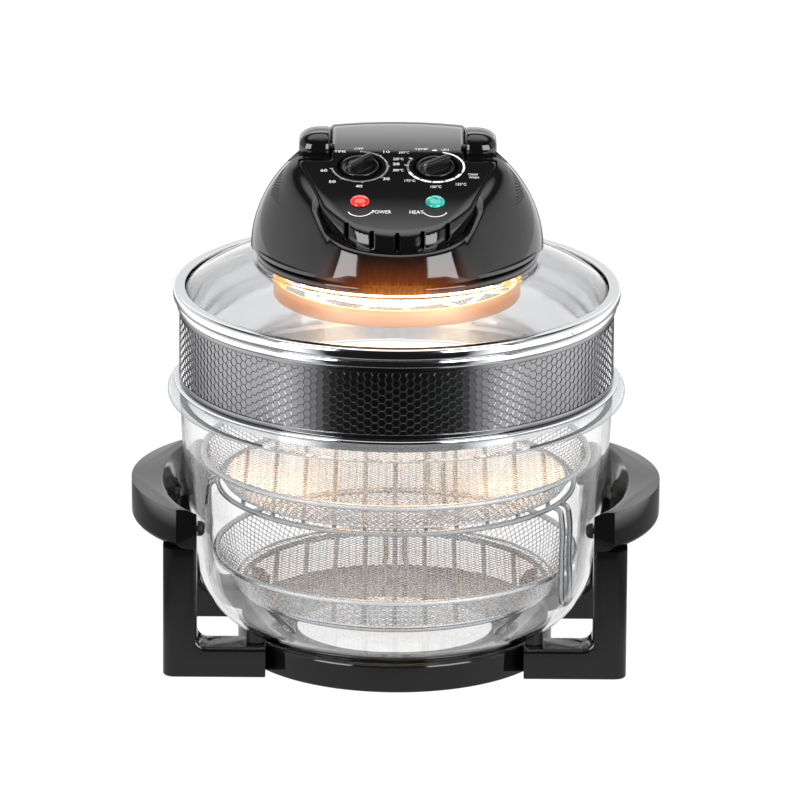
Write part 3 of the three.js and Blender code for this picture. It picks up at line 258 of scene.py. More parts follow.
def carved(form, *tools, operation="DIFFERENCE"):
    """Cuts tool forms out of a form, or joins them to it."""
    made = temporary(form)
    spare = []
    for tool in tools:
        cutter = temporary(tool)
        spare.append(cutter)
        change = made.modifiers.new("carve", "BOOLEAN")
        change.operation = operation
        change.solver = "EXACT"
        change.object = cutter
    result = evaluated(made)
    for cutter in spare:
        mesh = cutter.data
        bpy.data.objects.remove(cutter)
        bpy.data.meshes.remove(mesh)
    return result


def lofted(loops):
    """Joins rings of points, given from one end to the other, into one closed body."""
    form = bmesh.new()
    rings = []
    for loop in loops:
        verts = [form.verts.new(p) for p in loop]
        rings.append([form.edges.new((verts[i - 1], verts[i])) for i in range(len(verts))])
        if len(rings) in (1, len(loops)):
            form.faces.new(verts)
    for below, above in zip(rings, rings[1:]):
        bmesh.ops.bridge_loops(form, edges=below + above)
    return clean(form)


def oval(reach, half, power, z, count=96, middle=DISH_MIDDLE):
    """A ring round the finger gap: an ellipse at power 1, nearer a rectangle below that."""
    points = []
    for i in range(count):
        c, s = cos(2 * pi * i / count), sin(2 * pi * i / count)
        points.append((middle + (reach - middle) * (1 if c > 0 else -1) * abs(c) ** power,
                       half * (1 if s > 0 else -1) * abs(s) ** power, z))
    return points


def grip_form():
    """The right grip."""
    form = bmesh.new()
    bmesh.ops.create_circle(form, cap_ends=True, cap_tris=False, segments=144, radius=GRIP_ARC)
    bmesh.ops.translate(form, vec=(GRIP_ARC_X, 0, GRIP_LOW), verts=form.verts)
    for place, normal in (((POST_INNER, 0, 0), (-1, 0, 0)), ((0, LEG_FRONT, 0), (0, 1, 0)),
                          ((0, -LEG_FRONT, 0), (0, -1, 0))):
        bmesh.ops.bisect_plane(form, geom=form.verts[:] + form.edges[:] + form.faces[:], dist=0.001,
                               plane_co=place, plane_no=normal, clear_outer=True)
    made = bmesh.ops.extrude_face_region(form, geom=form.faces[:])
    bmesh.ops.translate(form, vec=(0, 0, GRIP_HIGH - GRIP_LOW),
                        verts=[v for v in made["geom"] if isinstance(v, bmesh.types.BMVert)])
    clean(form)
    under = [e for e in form.edges if all(abs(v.co.z - GRIP_LOW) < 0.01 and
                                          abs(hypot(v.co.x - GRIP_ARC_X, v.co.y) - GRIP_ARC) < 0.1
                                          for v in e.verts)]
    rounded(form, under, UNDER_ROUND, 6)
    dish = lofted([oval(HOLE_X, HOLE_HALF, 0.4, GRIP_LOW - 10), oval(HOLE_X, HOLE_HALF, 0.4, 107.2),
                   oval(HOLE_X + 0.5, HOLE_HALF + 1.6, 0.43, 108.6),
                   oval(HOLE_X + 1.6, HOLE_HALF + 6, 0.5, 110.2),
                   oval(HOLE_X + 7.2, HOLE_HALF + 46, 0.88, 124.4),
                   oval(DISH_X - 0.4, DISH_HALF - 5, 0.95, 127.6),
                   oval(DISH_X + 2.4, DISH_HALF + 4, 1, 128.9)])
    form = carved(form, dish)
    made = temporary(form)
    soft = made.modifiers.new("soft edges", "BEVEL")
    soft.width = GRIP_SOFT
    soft.segments = 3
    soft.limit_method = "ANGLE"
    soft.angle_limit = radians(38)
    soft.harden_normals = False
    return evaluated(made)


for side, x in (("left", -1), ("right", 1)):
    piece(f"{side}_grip_moulding", mirrored(grip_form(), x), gloss_black, "stand", [f"{side}_grip"])


# Bumpers and pads: black silicone. A round button is pushed into each end of a grip beside the bowl,
# and a stud on each foot, dished to the bowl's corner, carries the glass.
BUMPER_HIGH, BUMPER_Y, BUMPER_RADIUS = 107.8, 63.5, 5.6
PAD_X, PAD_Y, PAD_RADIUS, PAD_LOW, PAD_HIGH = 101.5, 69, 7, 23.1, 36.6

# Silicone out of a spark-eroded tool: soft black with a fine matt grain and no clear reflection.
silicone, tree, shader = finish("moulded silicone rubber", Base_Color=linear("#141414"), IOR=1.42)
grain(tree, shader, 0.8, 0.42, 0.6, bump=0.02)


BOWL_LOW = 14.5


def bowl_side(inset, corner_steps=14, wall_steps=16):
    """The bowl's profile from its flat bottom up to the neck, moved in by an inset."""
    low, corner = BOWL_LOW + inset, 146.5 - inset
    points = [(84, low)]
    ends = [Vector(p) for p in ((84, low), (118 - inset / 2, low), (corner - 1.5, 40), (corner, 69))]
    for i in range(1, corner_steps + 1):
        t = i / corner_steps
        a, b, c, d = ((1 - t) ** 3, 3 * t * (1 - t) ** 2, 3 * t * t * (1 - t), t ** 3)
        points.append(tuple(a * ends[0] + b * ends[1] + c * ends[2] + d * ends[3]))
    ends = [Vector(p) for p in ((corner, 69), (155.9 - inset, 124.5), (158.5 - inset, 190))]
    for i in range(1, wall_steps + 1):
        t = i / wall_steps
        points.append(tuple((1 - t) ** 2 * ends[0] + 2 * t * (1 - t) * ends[1] + t * t * ends[2]))
    return points


for place, (x, y) in CORNERS.items():
    button = turned([(0, -5.9), (2.4, -5.9), (2.4, 0), (BUMPER_RADIUS, 0), (BUMPER_RADIUS, 5.4), (0, 5.4)],
                    {4: 3.8}, steps=40)
    bmesh.ops.rotate(button, cent=(0, 0, 0), matrix=Matrix.Rotation(-pi / 2, 3, "Y"), verts=button.verts)
    bmesh.ops.translate(button, vec=(POST_INNER - 0.3, -BUMPER_Y, BUMPER_HIGH), verts=button.verts)
    piece(f"{place}_bumper_button", mirrored(button, x, y), silicone, "stand", [f"{place}_bumper"])
    stud = turned([(0, PAD_LOW), (PAD_RADIUS, PAD_LOW), (PAD_RADIUS, PAD_HIGH), (0, PAD_HIGH)],
                  {1: 0.8, 2: 1}, steps=40)
    bmesh.ops.translate(stud, vec=(PAD_X, -PAD_Y, 0), verts=stud.verts)
    hollow = turned([(0, 14.2)] + bowl_side(-0.3) + [(0, 190)], steps=96)
    piece(f"{place}_pad_stud", mirrored(carved(stud, hollow), x, y), silicone, "stand",
          [f"{place}_bowl_pad"])


# Glass bowl: pressed from clear soda-lime glass, fire polished and tempered.
# Its thick rounded lip carries the extender, and faint ripples show where the glass flowed.
BOWL_WALL, LIP_X, LIP_Z, LIP_HALF = 4.8, 161, 196.5, 6.5
GLASS_RIPPLE = 28


def clear_glass(name, tint, ripple):
    """Glass that bends what is seen through it and still lets the light of lamps past."""
    material, tree, shader = finish(name, Base_Color=linear(tint), IOR=1.5, Roughness=0.0,
                                    Transmission_Weight=1.0)
    place = add(tree, "ShaderNodeTexCoord")
    flow = add(tree, "ShaderNodeTexNoise", {"Scale": 1 / (GLASS_RIPPLE * MM), "Detail": 1.0},
               Vector=place.outputs["Object"])
    wave = add(tree, "ShaderNodeBump", {"Strength": 1.0, "Distance": ripple * MM}, Height=flow.outputs[0])
    tree.links.new(wave.outputs[0], shader.inputs["Normal"])
    path = add(tree, "ShaderNodeLightPath")
    through = add(tree, "ShaderNodeBsdfTransparent", {"Color": linear("#fafbfb")})
    mixed = add(tree, "ShaderNodeMixShader")
    tree.links.new(path.outputs["Is Shadow Ray"], mixed.inputs[0])
    tree.links.new(shader.outputs[0], mixed.inputs[1])
    tree.links.new(through.outputs[0], mixed.inputs[2])
    tree.links.new(mixed.outputs[0], tree.nodes["Material Output"].inputs["Surface"])
    return material


bowl_glass = clear_glass("pressed soda-lime glass", "#ffffff", 0.12)

# The lip is solid glass 13 mm thick: nearly clear face on, with a painted grey shade where it turns away,
# standing in for the light the thick glass bends there.
lip_glass, tree, shader = finish("fire-polished glass lip", Base_Color=linear("#c4c8ca"), Roughness=0.03,
                                 IOR=1.5)
rim_view = add(tree, "ShaderNodeLayerWeight", {"Blend": 0.4})
painted_edge_grey = add(tree, "ShaderNodeMapRange", {"From Min": 0.25, "From Max": 0.95, "To Min": 0.12, "To Max": 0.8},
            Value=rim_view.outputs["Facing"])
tree.links.new(painted_edge_grey.outputs[0], shader.inputs["Alpha"])

lip = [(LIP_X + LIP_HALF * cos(t), LIP_Z + LIP_HALF * sin(t))
       for t in [radians(-90 + 15 * i) for i in range(13)]]
inside = bowl_side(BOWL_WALL)[::-1]
bowl = turned([(0, BOWL_LOW)] + bowl_side(0) + lip
              + [(inside[0][0] + 2.2, 202.6), (inside[0][0] + 0.3, 200.8)]
              + inside + [(0, BOWL_LOW + BOWL_WALL)], steps=192)
pressing = piece("glass_bowl_pressing", bowl, bowl_glass, "bowl", ["glass_bowl"], smooth=50)
pressing.data.materials.append(lip_glass)
for face in pressing.data.polygons:
    face.material_index = 1 if face.center.z > (LIP_Z - LIP_HALF) * MM else 0


# Low and high racks: chromed steel wire. Bars run from front to back across a ring, spot welded,
# and looped legs stand the rack on the inside of the bowl.
RACK_WIRE, BAR_PITCH = 2.0, 22
LOW_RING, LOW_RACK_Z, HIGH_RING, HIGH_RACK_Z, HIGH_LEG = 112, 48.4, 130.5, 127, 137.4

# Chrome over drawn wire: bright, a little soft from the drawing marks under the plating.
chrome_wire, tree, shader = finish("chromed steel wire", Base_Color=linear("#a9abae"), Metallic=1.0)
grain(tree, shader, 4, 0.1, 0.2, bump=0.01)


def wires(paths, radius, closed=False, smooth=True, sides=3):
    """Round wire along each path of points, in millimetres, as a mesh in metres."""
    curve = bpy.data.curves.new("wire", "CURVE")
    curve.dimensions = "3D"
    curve.bevel_depth = radius * MM
    curve.bevel_resolution = sides
    curve.use_fill_caps = True
    curve.resolution_u = 8
    for path in paths:
        spline = curve.splines.new("BEZIER" if smooth else "POLY")
        points = spline.bezier_points if smooth else spline.points
        points.add(len(path) - 1)
        for point, (x, y, z) in zip(points, path):
            place = (x * MM, y * MM, z * MM)
            if smooth:
                point.co = place
                point.handle_left_type = point.handle_right_type = "AUTO"
            else:
                point.co = (*place, 1)
        spline.use_cyclic_u = closed
    made = bpy.data.objects.new("wire", curve)
    scene.collection.objects.link(made)
    mesh = bpy.data.meshes.new_from_object(made)
    bpy.data.objects.remove(made)
    bpy.data.curves.remove(curve)
    return mesh


def joined(meshes):
    """Several meshes as one."""
    form = bmesh.new()
    for mesh in meshes:
        form.from_mesh(mesh)
        bpy.data.meshes.remove(mesh)
    made = bpy.data.meshes.new("joined")
    form.to_mesh(made)
    form.free()
    return made


def round_path(radius, z, count=120):
    """Points round the axis at a radius and height."""
    return [(radius * cos(2 * pi * i / count), radius * sin(2 * pi * i / count), z) for i in range(count)]


def rack_mesh(radius, z, turns, stations, spread):
    """The ring, its bars and its looped legs; stations are (radius, height) down one side."""
    bars = []
    half = int((radius - BAR_PITCH / 2) // BAR_PITCH)
    for i in range(-half, half + 1):
        x = i * BAR_PITCH
        reach = sqrt(radius ** 2 - x ** 2) + 1.2
        bars.append([(x, -reach, z + 0.4), (x, reach, z + 0.4)])
    legs = []
    for turn in turns:
        down = [(r, -spread, h) for r, h in stations]
        corner = [(stations[-1][0], -spread * 0.55, stations[-1][1] - 2.2),
                  (stations[-1][0], spread * 0.55, stations[-1][1] - 2.2)]
        up = [(r, spread, h) for r, h in reversed(stations)]
        legs.append([tuple(Matrix.Rotation(turn * pi, 3, "Z") @ Vector(p)) for p in down + corner + up])
    return joined([wires([round_path(radius, z)], RACK_WIRE, closed=True), wires(bars, RACK_WIRE * 0.9),
                   wires(legs, RACK_WIRE)])


low = rack_mesh(LOW_RING, LOW_RACK_Z, (-0.16, 0.5, 1.16),
                [(LOW_RING, LOW_RACK_Z), (106, 44.5), (98, 36), (88.5, 24.6)], 7)
placed("low_rack_wires", low, chrome_wire, "low_rack", ["low_rack"], smooth=60)
high = rack_mesh(HIGH_RING, HIGH_RACK_Z, (-0.15, 0.43, 1),
                 [(HIGH_RING, HIGH_RACK_Z), (135.6, 124.6), (HIGH_LEG, 118), (HIGH_LEG, 90),
                  (HIGH_LEG, 56)], 6)
placed("high_rack_wires", high, chrome_wire, "high_rack", ["high_rack"], smooth=60)


# Baskets: shallow trays of woven stainless wire cloth, pressed to shape and held in a folded rim.
# The wires cross over and under, so the cloth reads as small diamonds.
CLOTH_WIRE, CLOTH_PITCH, RIM_WIRE, FOOT_WIRE, CLOTH_LIFT = 0.34, 3.9, 2.2, 0.9, 0.7

# Fine stainless wire, slightly dulled by pickling. The real cloth is too fine to show, so the wires
# are drawn thicker and further apart.
cloth_steel, tree, shader = finish("woven stainless wire", Base_Color=linear("#c3c5c8"), Metallic=1.0)
grain(tree, shader, 2.5, 0.2, 0.34)


def basket_mesh(floor_radius, floor_z, rim_radius, rim_z):
    """Wire cloth for the floor and side, with a round rim and a bottom ring."""
    cloth = []
    half = int(floor_radius / CLOTH_PITCH)
    for i in range(-half, half + 1):
        across = i * CLOTH_PITCH
        reach = sqrt(max(floor_radius ** 2 - across ** 2, 0))
        count = int(reach / CLOTH_PITCH)
        if count < 1:
            continue
        for turn in (1, -1):
            path = []
            for j in range(-count, count + 1):
                lift = CLOTH_WIRE * 0.5 * turn * (1 if (i + j) % 2 else -1)
                along = j * CLOTH_PITCH
                x, y = (along, across) if turn == 1 else (across, along)
                path.append(((x - y) * sqrt(0.5), (x + y) * sqrt(0.5), floor_z + CLOTH_LIFT + lift))
            cloth.append(path)
    side = []
    slant = hypot(rim_radius - floor_radius, rim_z - floor_z)
    count = round(2 * pi * (floor_radius + rim_radius) / 2 / (CLOTH_PITCH * sqrt(2)))
    rows = round(2 * slant / (CLOTH_PITCH * sqrt(2)))
    for i in range(count):
        for turn in (1, -1):
            path = []
            for j in range(rows + 1):
                share = j / rows
                radius = floor_radius + (rim_radius - floor_radius) * share
                radius += CLOTH_WIRE * 0.5 * turn * (1 if (i + j) % 2 else -1) - 0.6
                angle = 2 * pi * (i + turn * j / 2) / count
                path.append((radius * cos(angle), radius * sin(angle),
                             floor_z + CLOTH_LIFT + (rim_z - floor_z - CLOTH_LIFT) * share))
            side.append(path)
    return joined([wires(cloth, CLOTH_WIRE, smooth=False, sides=0),
                   wires(side, CLOTH_WIRE, smooth=False, sides=0),
                   wires([round_path(rim_radius, rim_z)], RIM_WIRE, closed=True),
                   wires([round_path(floor_radius - 0.6, floor_z + FOOT_WIRE)], FOOT_WIRE, closed=True)])


lower = basket_mesh(117, 50.7, 132.4, 75)
placed("lower_basket_cloth", lower, cloth_steel, "lower_basket", ["lower_basket"], smooth=60)
upper = basket_mesh(126, 129.3, 141.2, 150)
placed("upper_basket_cloth", upper, cloth_steel, "upper_basket", ["upper_basket"], smooth=60)


# Extender: a rolled stainless band that raises the lid, with a skirt that drops into the bowl.
# A thin steel sleeve, embossed with a honeycomb and plated black nickel, is wrapped round it.
SKIRT_IN, SKIRT_OUT, BAND_IN, BAND_OUT = 149.2, 150.8, 153.9, 155.5
LOWER_BEAD, UPPER_BEAD, BAND_TOP = 162.5, 161, 266.8
CELL_SIDE, COLUMNS, SLEEVE_LOW, SLEEVE_HIGH, SLEEVE_RADIUS = 3.4, 196, 206.6, 260.7, 159.1
RIDGE, SLOPE, CELL_DEEP = 0.2, 0.34, 0.5

# Stainless strip, buffed after rolling: a clear mirror with faint lines along the roll.
stainless, tree, shader = finish("polished stainless steel", Base_Color=linear("#d9dadc"), Metallic=1.0)
grain(tree, shader, 14, 0.06, 0.12, bump=0.01, stretch=(1, 1, 6))

band = turned([(SKIRT_IN, 194.8), (SKIRT_OUT, 194.8), (SKIRT_OUT, 203.3), (LOWER_BEAD, 203.3),
               (LOWER_BEAD, 206.3), (BAND_OUT, 206.3), (BAND_OUT, 261), (UPPER_BEAD, 261),
               (UPPER_BEAD, BAND_TOP), (BAND_IN, BAND_TOP), (BAND_IN, 204.9), (SKIRT_IN, 204.9)],
              {3: 1.2, 4: 1.4, 7: 1.0, 8: 2.2, 9: 0.8}, steps=192)
piece("extender_band", band, stainless, "extender", ["extender_ring"])

# Black nickel over embossed steel: a dark mirror that shows bright only where a cell's slope faces light.
dark_nickel, tree, shader = finish("black nickel plated embossed steel", Base_Color=linear("#747476"),
                                   Metallic=1.0)
grain(tree, shader, 1.2, 0.12, 0.2, bump=0.006)


def honeycomb_sleeve():
    """Sheet of hexagons laid out flat, each pressed in, then wrapped round the band."""
    form = bmesh.new()
    high = CELL_SIDE * sqrt(3)
    pitch = 2 * pi * SLEEVE_RADIUS / COLUMNS
    side = pitch / 1.5
    rows = int((SLEEVE_HIGH - SLEEVE_LOW - 3.4) / high)
    start = (SLEEVE_HIGH + SLEEVE_LOW - rows * high) / 2
    for column in range(COLUMNS):
        for row in range(rows + column % 2):
            shift = 0.5 if column % 2 else 0
            made = bmesh.ops.create_circle(form, cap_ends=True, segments=6, radius=1)
            place = (column * pitch, start + (row + 0.5 - shift) * high, 0)
            bmesh.ops.rotate(form, cent=(0, 0, 0), matrix=Matrix.Rotation(pi / 6, 3, "Z"),
                             verts=made["verts"])
            bmesh.ops.scale(form, vec=(side, high / sqrt(3), 1), verts=made["verts"])
            bmesh.ops.translate(form, vec=place, verts=made["verts"])
    bmesh.ops.remove_doubles(form, verts=form.verts, dist=0.05)
    for low, normal in ((start, (0, -1, 0)), (start + rows * high, (0, 1, 0))):
        bmesh.ops.bisect_plane(form, geom=form.verts[:] + form.edges[:] + form.faces[:], dist=0.01,
                               plane_co=(0, low, 0), plane_no=normal, clear_outer=True)
    bmesh.ops.inset_individual(form, faces=form.faces[:], thickness=RIDGE, depth=0)
    bmesh.ops.inset_individual(form, faces=[f for f in form.faces if len(f.verts) > 4 or f.calc_area() > 5],
                               thickness=SLOPE, depth=-CELL_DEEP)
    for v in form.verts:
        turn, out = v.co.x / SLEEVE_RADIUS, SLEEVE_RADIUS - 0.15 + v.co.z
        v.co = (out * sin(turn), -out * cos(turn), v.co.y)
    bmesh.ops.remove_doubles(form, verts=form.verts, dist=0.05)
    bmesh.ops.recalc_face_normals(form, faces=form.faces)
    mesh = bpy.data.meshes.new("cells")
    form.to_mesh(mesh)
    form.free()
    return mesh, start, start + rows * high


def ring_mesh(profile, radii):
    """A spun ring as a mesh, in millimetres."""
    form = turned(profile, radii)
    mesh = bpy.data.meshes.new("ring")
    form.to_mesh(mesh)
    form.free()
    return mesh


cells, cells_low, cells_high = honeycomb_sleeve()
borders = [ring_mesh([(155.9, low), (159.3, low), (159.3, high), (155.9, high)], {1: 0.4, 2: 0.4})
           for low, high in ((SLEEVE_LOW, cells_low + 0.3), (cells_high - 0.3, SLEEVE_HIGH))]
sleeve = joined([cells] + borders)
sleeve.transform(Matrix.Scale(MM, 4))
placed("embossed_sleeve", sleeve, dark_nickel, "extender", ["extender_sleeve"], smooth=25)


# Lid rim: a rolled stainless band folded round the edge of the lid glass.
# Its two ends overlap and are held by a small rivet at the side.
RIM_IN, RIM_OUT, RIM_LOW, RIM_HIGH, RIM_SHEET = 154.9, 163.5, 267.1, 275.5, 1.4
RIVET_TURN, RIVET_Z = 51, 271.3
rim = turned([(RIM_IN, RIM_LOW), (RIM_OUT, RIM_LOW), (RIM_OUT, RIM_HIGH), (RIM_IN, RIM_HIGH),
              (RIM_IN, RIM_HIGH - RIM_SHEET), (RIM_OUT - RIM_SHEET, RIM_HIGH - RIM_SHEET),
              (RIM_OUT - RIM_SHEET, RIM_LOW + RIM_SHEET), (RIM_IN, RIM_LOW + RIM_SHEET)],
             {1: 2.2, 2: 2.6, 3: 0.6, 0: 0.6, 5: 1, 6: 1}, steps=192)
rivet = turned([(0, 0), (1.6, 0), (1.6, 0.9), (0, 0.9)], {2: 0.8}, steps=20)
bmesh.ops.rotate(rivet, cent=(0, 0, 0), matrix=Matrix.Rotation(pi / 2, 3, "X"), verts=rivet.verts)
bmesh.ops.translate(rivet, vec=(0, 0.2 - RIM_OUT, RIVET_Z), verts=rivet.verts)
bmesh.ops.rotate(rivet, cent=(0, 0, 0), matrix=Matrix.Rotation(radians(RIVET_TURN), 3, "Z"),
                 verts=rivet.verts)
piece("lid_rim_band", rim, stainless, "lid", ["lid_rim"])
piece("lid_rim_rivet", rivet, stainless, "lid")


# Lid glass: a tempered plate slumped to a low dome, with a round hole for the head.
# Its edge is ground and hidden in the rim, and the heater shines through its middle.
EDGE_TOP, LID_GLASS, LID_TOP, LID_EDGE, LID_HOLE = 273, 4.2, 297.3, 161.8, 81
lid_glass = clear_glass("slumped tempered glass", "#ffffff", 0.08)


def lid_side(drop):
    """The lid's profile from its fold inside the rim up to the shoulder, lowered by a drop."""
    ends = [Vector(p) for p in ((154.6, EDGE_TOP - drop), (134, EDGE_TOP + 15.5 - drop),
                                (103, LID_TOP - drop))]
    return [tuple((1 - t) ** 2 * ends[0] + 2 * t * (1 - t) * ends[1] + t * t * ends[2])
            for t in [i / 24 for i in range(25)]]


plate = turned([(LID_EDGE, EDGE_TOP - LID_GLASS), (LID_EDGE, EDGE_TOP)] + lid_side(0)
               + [(LID_HOLE, LID_TOP), (LID_HOLE, LID_TOP - LID_GLASS)] + lid_side(LID_GLASS)[::-1],
               steps=192)
piece("lid_glass_plate", plate, lid_glass, "lid", ["lid_glass"], smooth=50)


# Skirt ring: a gloss black moulded collar that clamps the head on the glass.
# Only its rounded outer edge shows, between the glass and the dome.
COLLAR_IN, COLLAR_OUT, COLLAR_LOW, COLLAR_TOP = 79.8, 103, 297.6, 303.5
GLOW_FOOT, GLOW_TOP, GLOW_FULL, GLOW_END = 0.298, 0.331, 0.016, 0.062

# The collar and the foot of the dome carry a painted reflection of the heater's glow: orange emission,
# streaked upwards and strongest in the middle. Its streaks are 1.6 mm wide, coarser than the tool's polishing
# marks.
painted_glow_black, tree, shader = finish("polished black ABS in the heater's glow", Base_Color=linear("#0c0c0d"),
                                    IOR=1.5, Emission_Strength=0.7)
grain(tree, shader, 9, 0.05, 0.085, bump=0.006)
place = add(tree, "ShaderNodeTexCoord")
spot = add(tree, "ShaderNodeSeparateXYZ", Vector=place.outputs["Object"])
rise = add(tree, "ShaderNodeMapRange",
           {"From Min": GLOW_FOOT, "From Max": GLOW_TOP, "To Min": 1, "To Max": 0}, Value=spot.outputs[2])
fall = add(tree, "ShaderNodeMath", {"operation": "POWER", 1: 1.7}, _0=rise.outputs[0])
aside = add(tree, "ShaderNodeMath", {"operation": "ABSOLUTE"}, _0=spot.outputs[0])
ends = add(tree, "ShaderNodeMapRange",
           {"From Min": GLOW_FULL, "From Max": GLOW_END, "To Min": 1, "To Max": 0}, Value=aside.outputs[0])
upright = add(tree, "ShaderNodeMapping", {"Scale": (1, 1, 0.02)}, Vector=place.outputs["Object"])
glow_streak_noise = add(tree, "ShaderNodeTexNoise", {"Scale": 1 / (1.6 * MM), "Detail": 2.0}, Vector=upright.outputs[0])
streak = add(tree, "ShaderNodeMapRange", {"From Min": 0.3, "From Max": 0.7, "To Min": 0.7, "To Max": 1.0},
             Value=glow_streak_noise.outputs[0])
warmth = add(tree, "ShaderNodeMath", {"operation": "MULTIPLY"}, _0=fall.outputs[0], _1=ends.outputs[0])
warmth = add(tree, "ShaderNodeMath", {"operation": "MULTIPLY"}, _0=warmth.outputs[0], _1=streak.outputs[0])
sheen = add(tree, "ShaderNodeValToRGB", _0=warmth.outputs[0])
sheen.color_ramp.elements[0].color = linear("#000000")
sheen.color_ramp.elements[1].color = linear("#ff9a42")
sheen.color_ramp.elements.new(0.45).color = linear("#8a4418")
# The painted reflection: orange emission colour, fading upwards and towards the sides.
tree.links.new(sheen.outputs[0], shader.inputs["Emission Color"])

collar = turned([(COLLAR_IN, COLLAR_LOW), (COLLAR_OUT, COLLAR_LOW), (COLLAR_OUT, COLLAR_TOP),
                 (COLLAR_IN, COLLAR_TOP)], {1: 1.8, 2: 1.8}, steps=192)
# The collar carries the painted orange reflection of the heater's glow.
piece("skirt_collar", collar, painted_glow_black, "lid", ["skirt_ring"])


# Dome and upper cover: two gloss black mouldings that meet along a shield-shaped joint.
# The cover carries the sloping control panel and the vents; the dome is an egg shape round it,
# with a neck that stands on the collar. Both are cut from one soft-edged form.
DOME_R, DOME_H, DOME_MID, DOME_LOW, DOME_WALL = 106.8, 93.9, 303.8, 306.4, 2.8
TILT, TIP_Y, TIP_Z, LEDGE_DROP = radians(16.6), 96.6, 343.4, 15
FLANK = (0.77, -0.546, 0.333, 200)
HUMP_HALF, HUMP_END, HUMP_SLENDER, HUMP_RISE = 49.7, -2, 0.6, 4
NECK_IN, HEAD_REACH, HEART = 95.2, 150.0, (0, -8, 276)
CROWN, CROWN_FROM, CROWN_SPAN = 2.4, 34, 62
SHIELD_CORNERS = [(-25, -91.5), (0, -96.6), (25, -91.5), (40, -79), (55, -60), (66, -36)]


def smooth_line(points, count):
    """A Catmull-Rom curve from the second of the points to the last but one."""
    line = []
    for i in range(1, len(points) - 2):
        a, b, c, d = (Vector(p) for p in points[i - 1:i + 3])
        for t in [k / count for k in range(count)]:
            line.append(0.5 * (2 * b + (c - a) * t + (2 * a - 5 * b + 4 * c - d) * t * t
                               + (3 * b - a - 3 * c + d) * t ** 3))
    return [tuple(p) for p in line] + [tuple(points[-2])]


SHIELD = smooth_line(SHIELD_CORNERS, 6) + [(72, -9), (72, HUMP_END), (HUMP_HALF, HUMP_END), (HUMP_HALF, 72)]
NOSE = SHIELD[:19]
SHIELD = SHIELD + [(-x, y) for x, y in SHIELD[:0:-1]]


def panel_height(y, drop=0):
    """Height of the control panel's plane at a y, less a drop."""
    return TIP_Z + tan(TILT) * (y + TIP_Y) - drop


def soft_max(a, b, size):
    """The larger of two distances, blended where they are nearly alike."""
    near = np.maximum(size - abs(a - b), 0) / size
    return np.maximum(a, b) + near * near * size / 4


def soft_min(a, b, size):
    """The smaller of two distances, blended in the same way."""
    return -soft_max(-a, -b, size)


def smooth_step(a, low, high):
    """Rises from nought to one between two values."""
    t = np.clip((a - low) / (high - low), 0, 1)
    return t * t * (3 - 2 * t)


def outside_shield(x, y):
    """Distance outside the cover's plan, less than nought inside it."""
    best = np.full(x.shape, 1e9)
    inside = np.zeros(x.shape, bool)
    for (x0, y0), (x1, y1) in zip(SHIELD, SHIELD[1:] + SHIELD[:1]):
        dx, dy = x1 - x0, y1 - y0
        t = np.clip(((x - x0) * dx + (y - y0) * dy) / (dx * dx + dy * dy), 0, 1)
        best = np.minimum(best, np.hypot(x - x0 - t * dx, y - y0 - t * dy))
        if dy:
            inside ^= ((y0 > y) != (y1 > y)) & (x < x0 + (y - y0) * dx / dy)
    return np.where(inside, -best, best)


def outside_head(p, cover=False):
    """Distance outside the head's soft-edged form, for points one to a row."""
    x, y, z = p[:, 0], p[:, 1], p[:, 2]
    hump = smooth_step(y, HUMP_END, 22) * (1 - smooth_step(abs(x), HUMP_HALF, HUMP_HALF + 2.5))
    size = np.stack([DOME_R / (1 - (1 - HUMP_SLENDER) * hump), np.full(len(x), DOME_R),
                     DOME_H + HUMP_RISE * hump], 1)
    q = (p - np.array([0, 0, DOME_MID])) / size
    k = np.linalg.norm(q, axis=1)
    egg = k * (k - 1) / np.maximum(np.linalg.norm(q / size, axis=1), 1e-6)
    past = np.clip((y - 1) / 10, 0, 1)
    away = outside_shield(x, y)
    crown = CROWN * np.clip((-y - CROWN_FROM) / CROWN_SPAN, 0, 1) ** 2
    crown = crown + 0.15 * (past * past * 5 + np.maximum(y - 11, 0))
    if cover:
        crown = crown + 0.3 * np.maximum(away + 2.4, 0) ** 2
    panel = (z - panel_height(y) + crown) * cos(TILT)
    ramp = 1.3 * np.maximum(abs(x) - 50, 0) + np.maximum(y + 60, 0) + 0.25 * np.clip(away, 0, 12)
    ledge = (z - panel_height(y, LEDGE_DROP) - ramp) * 0.6
    body = soft_max(egg, panel, 6)
    body = soft_max(body, FLANK[0] * abs(x) + FLANK[1] * y + FLANK[2] * z - FLANK[3], 14)
    if not cover:
        body = soft_max(body, ledge, 2.2 + 3.5 * smooth_step(abs(x), 42, 54))
    else:
        body = soft_max(body, soft_min(abs(x) - HUMP_HALF, y - HUMP_END, 2), 3.5)
    return body


def head_solid(grid, inset, low, cover=False):
    """A cube of square faces blown out along rays to the head's form, with a flat bottom."""
    form = bmesh.new()
    bmesh.ops.create_cube(form, size=2)
    bmesh.ops.subdivide_edges(form, edges=form.edges[:], cuts=grid, use_grid_fill=True)
    ends = np.tan(np.array([v.co for v in form.verts]) * pi / 4)
    rays = ends / np.linalg.norm(ends, axis=1)[:, None]
    start = np.array(HEART, float)
    near, far = np.zeros(len(rays)), np.full(len(rays), HEAD_REACH)
    for _ in range(20):
        middle = (near + far) / 2
        beyond = outside_head(start + rays * middle[:, None], cover) > -inset
        far, near = np.where(beyond, middle, far), np.where(beyond, near, middle)
    for v, place in zip(form.verts, start + rays * near[:, None]):
        v.co = place
    bmesh.ops.bisect_plane(form, geom=form.verts[:] + form.edges[:] + form.faces[:], dist=0.0001,
                           plane_co=(0, 0, low), plane_no=(0, 0, -1), clear_outer=True)
    bmesh.ops.edgeloop_fill(form, edges=[e for e in form.edges if e.is_boundary])
    bmesh.ops.recalc_face_normals(form, faces=form.faces)
    return form


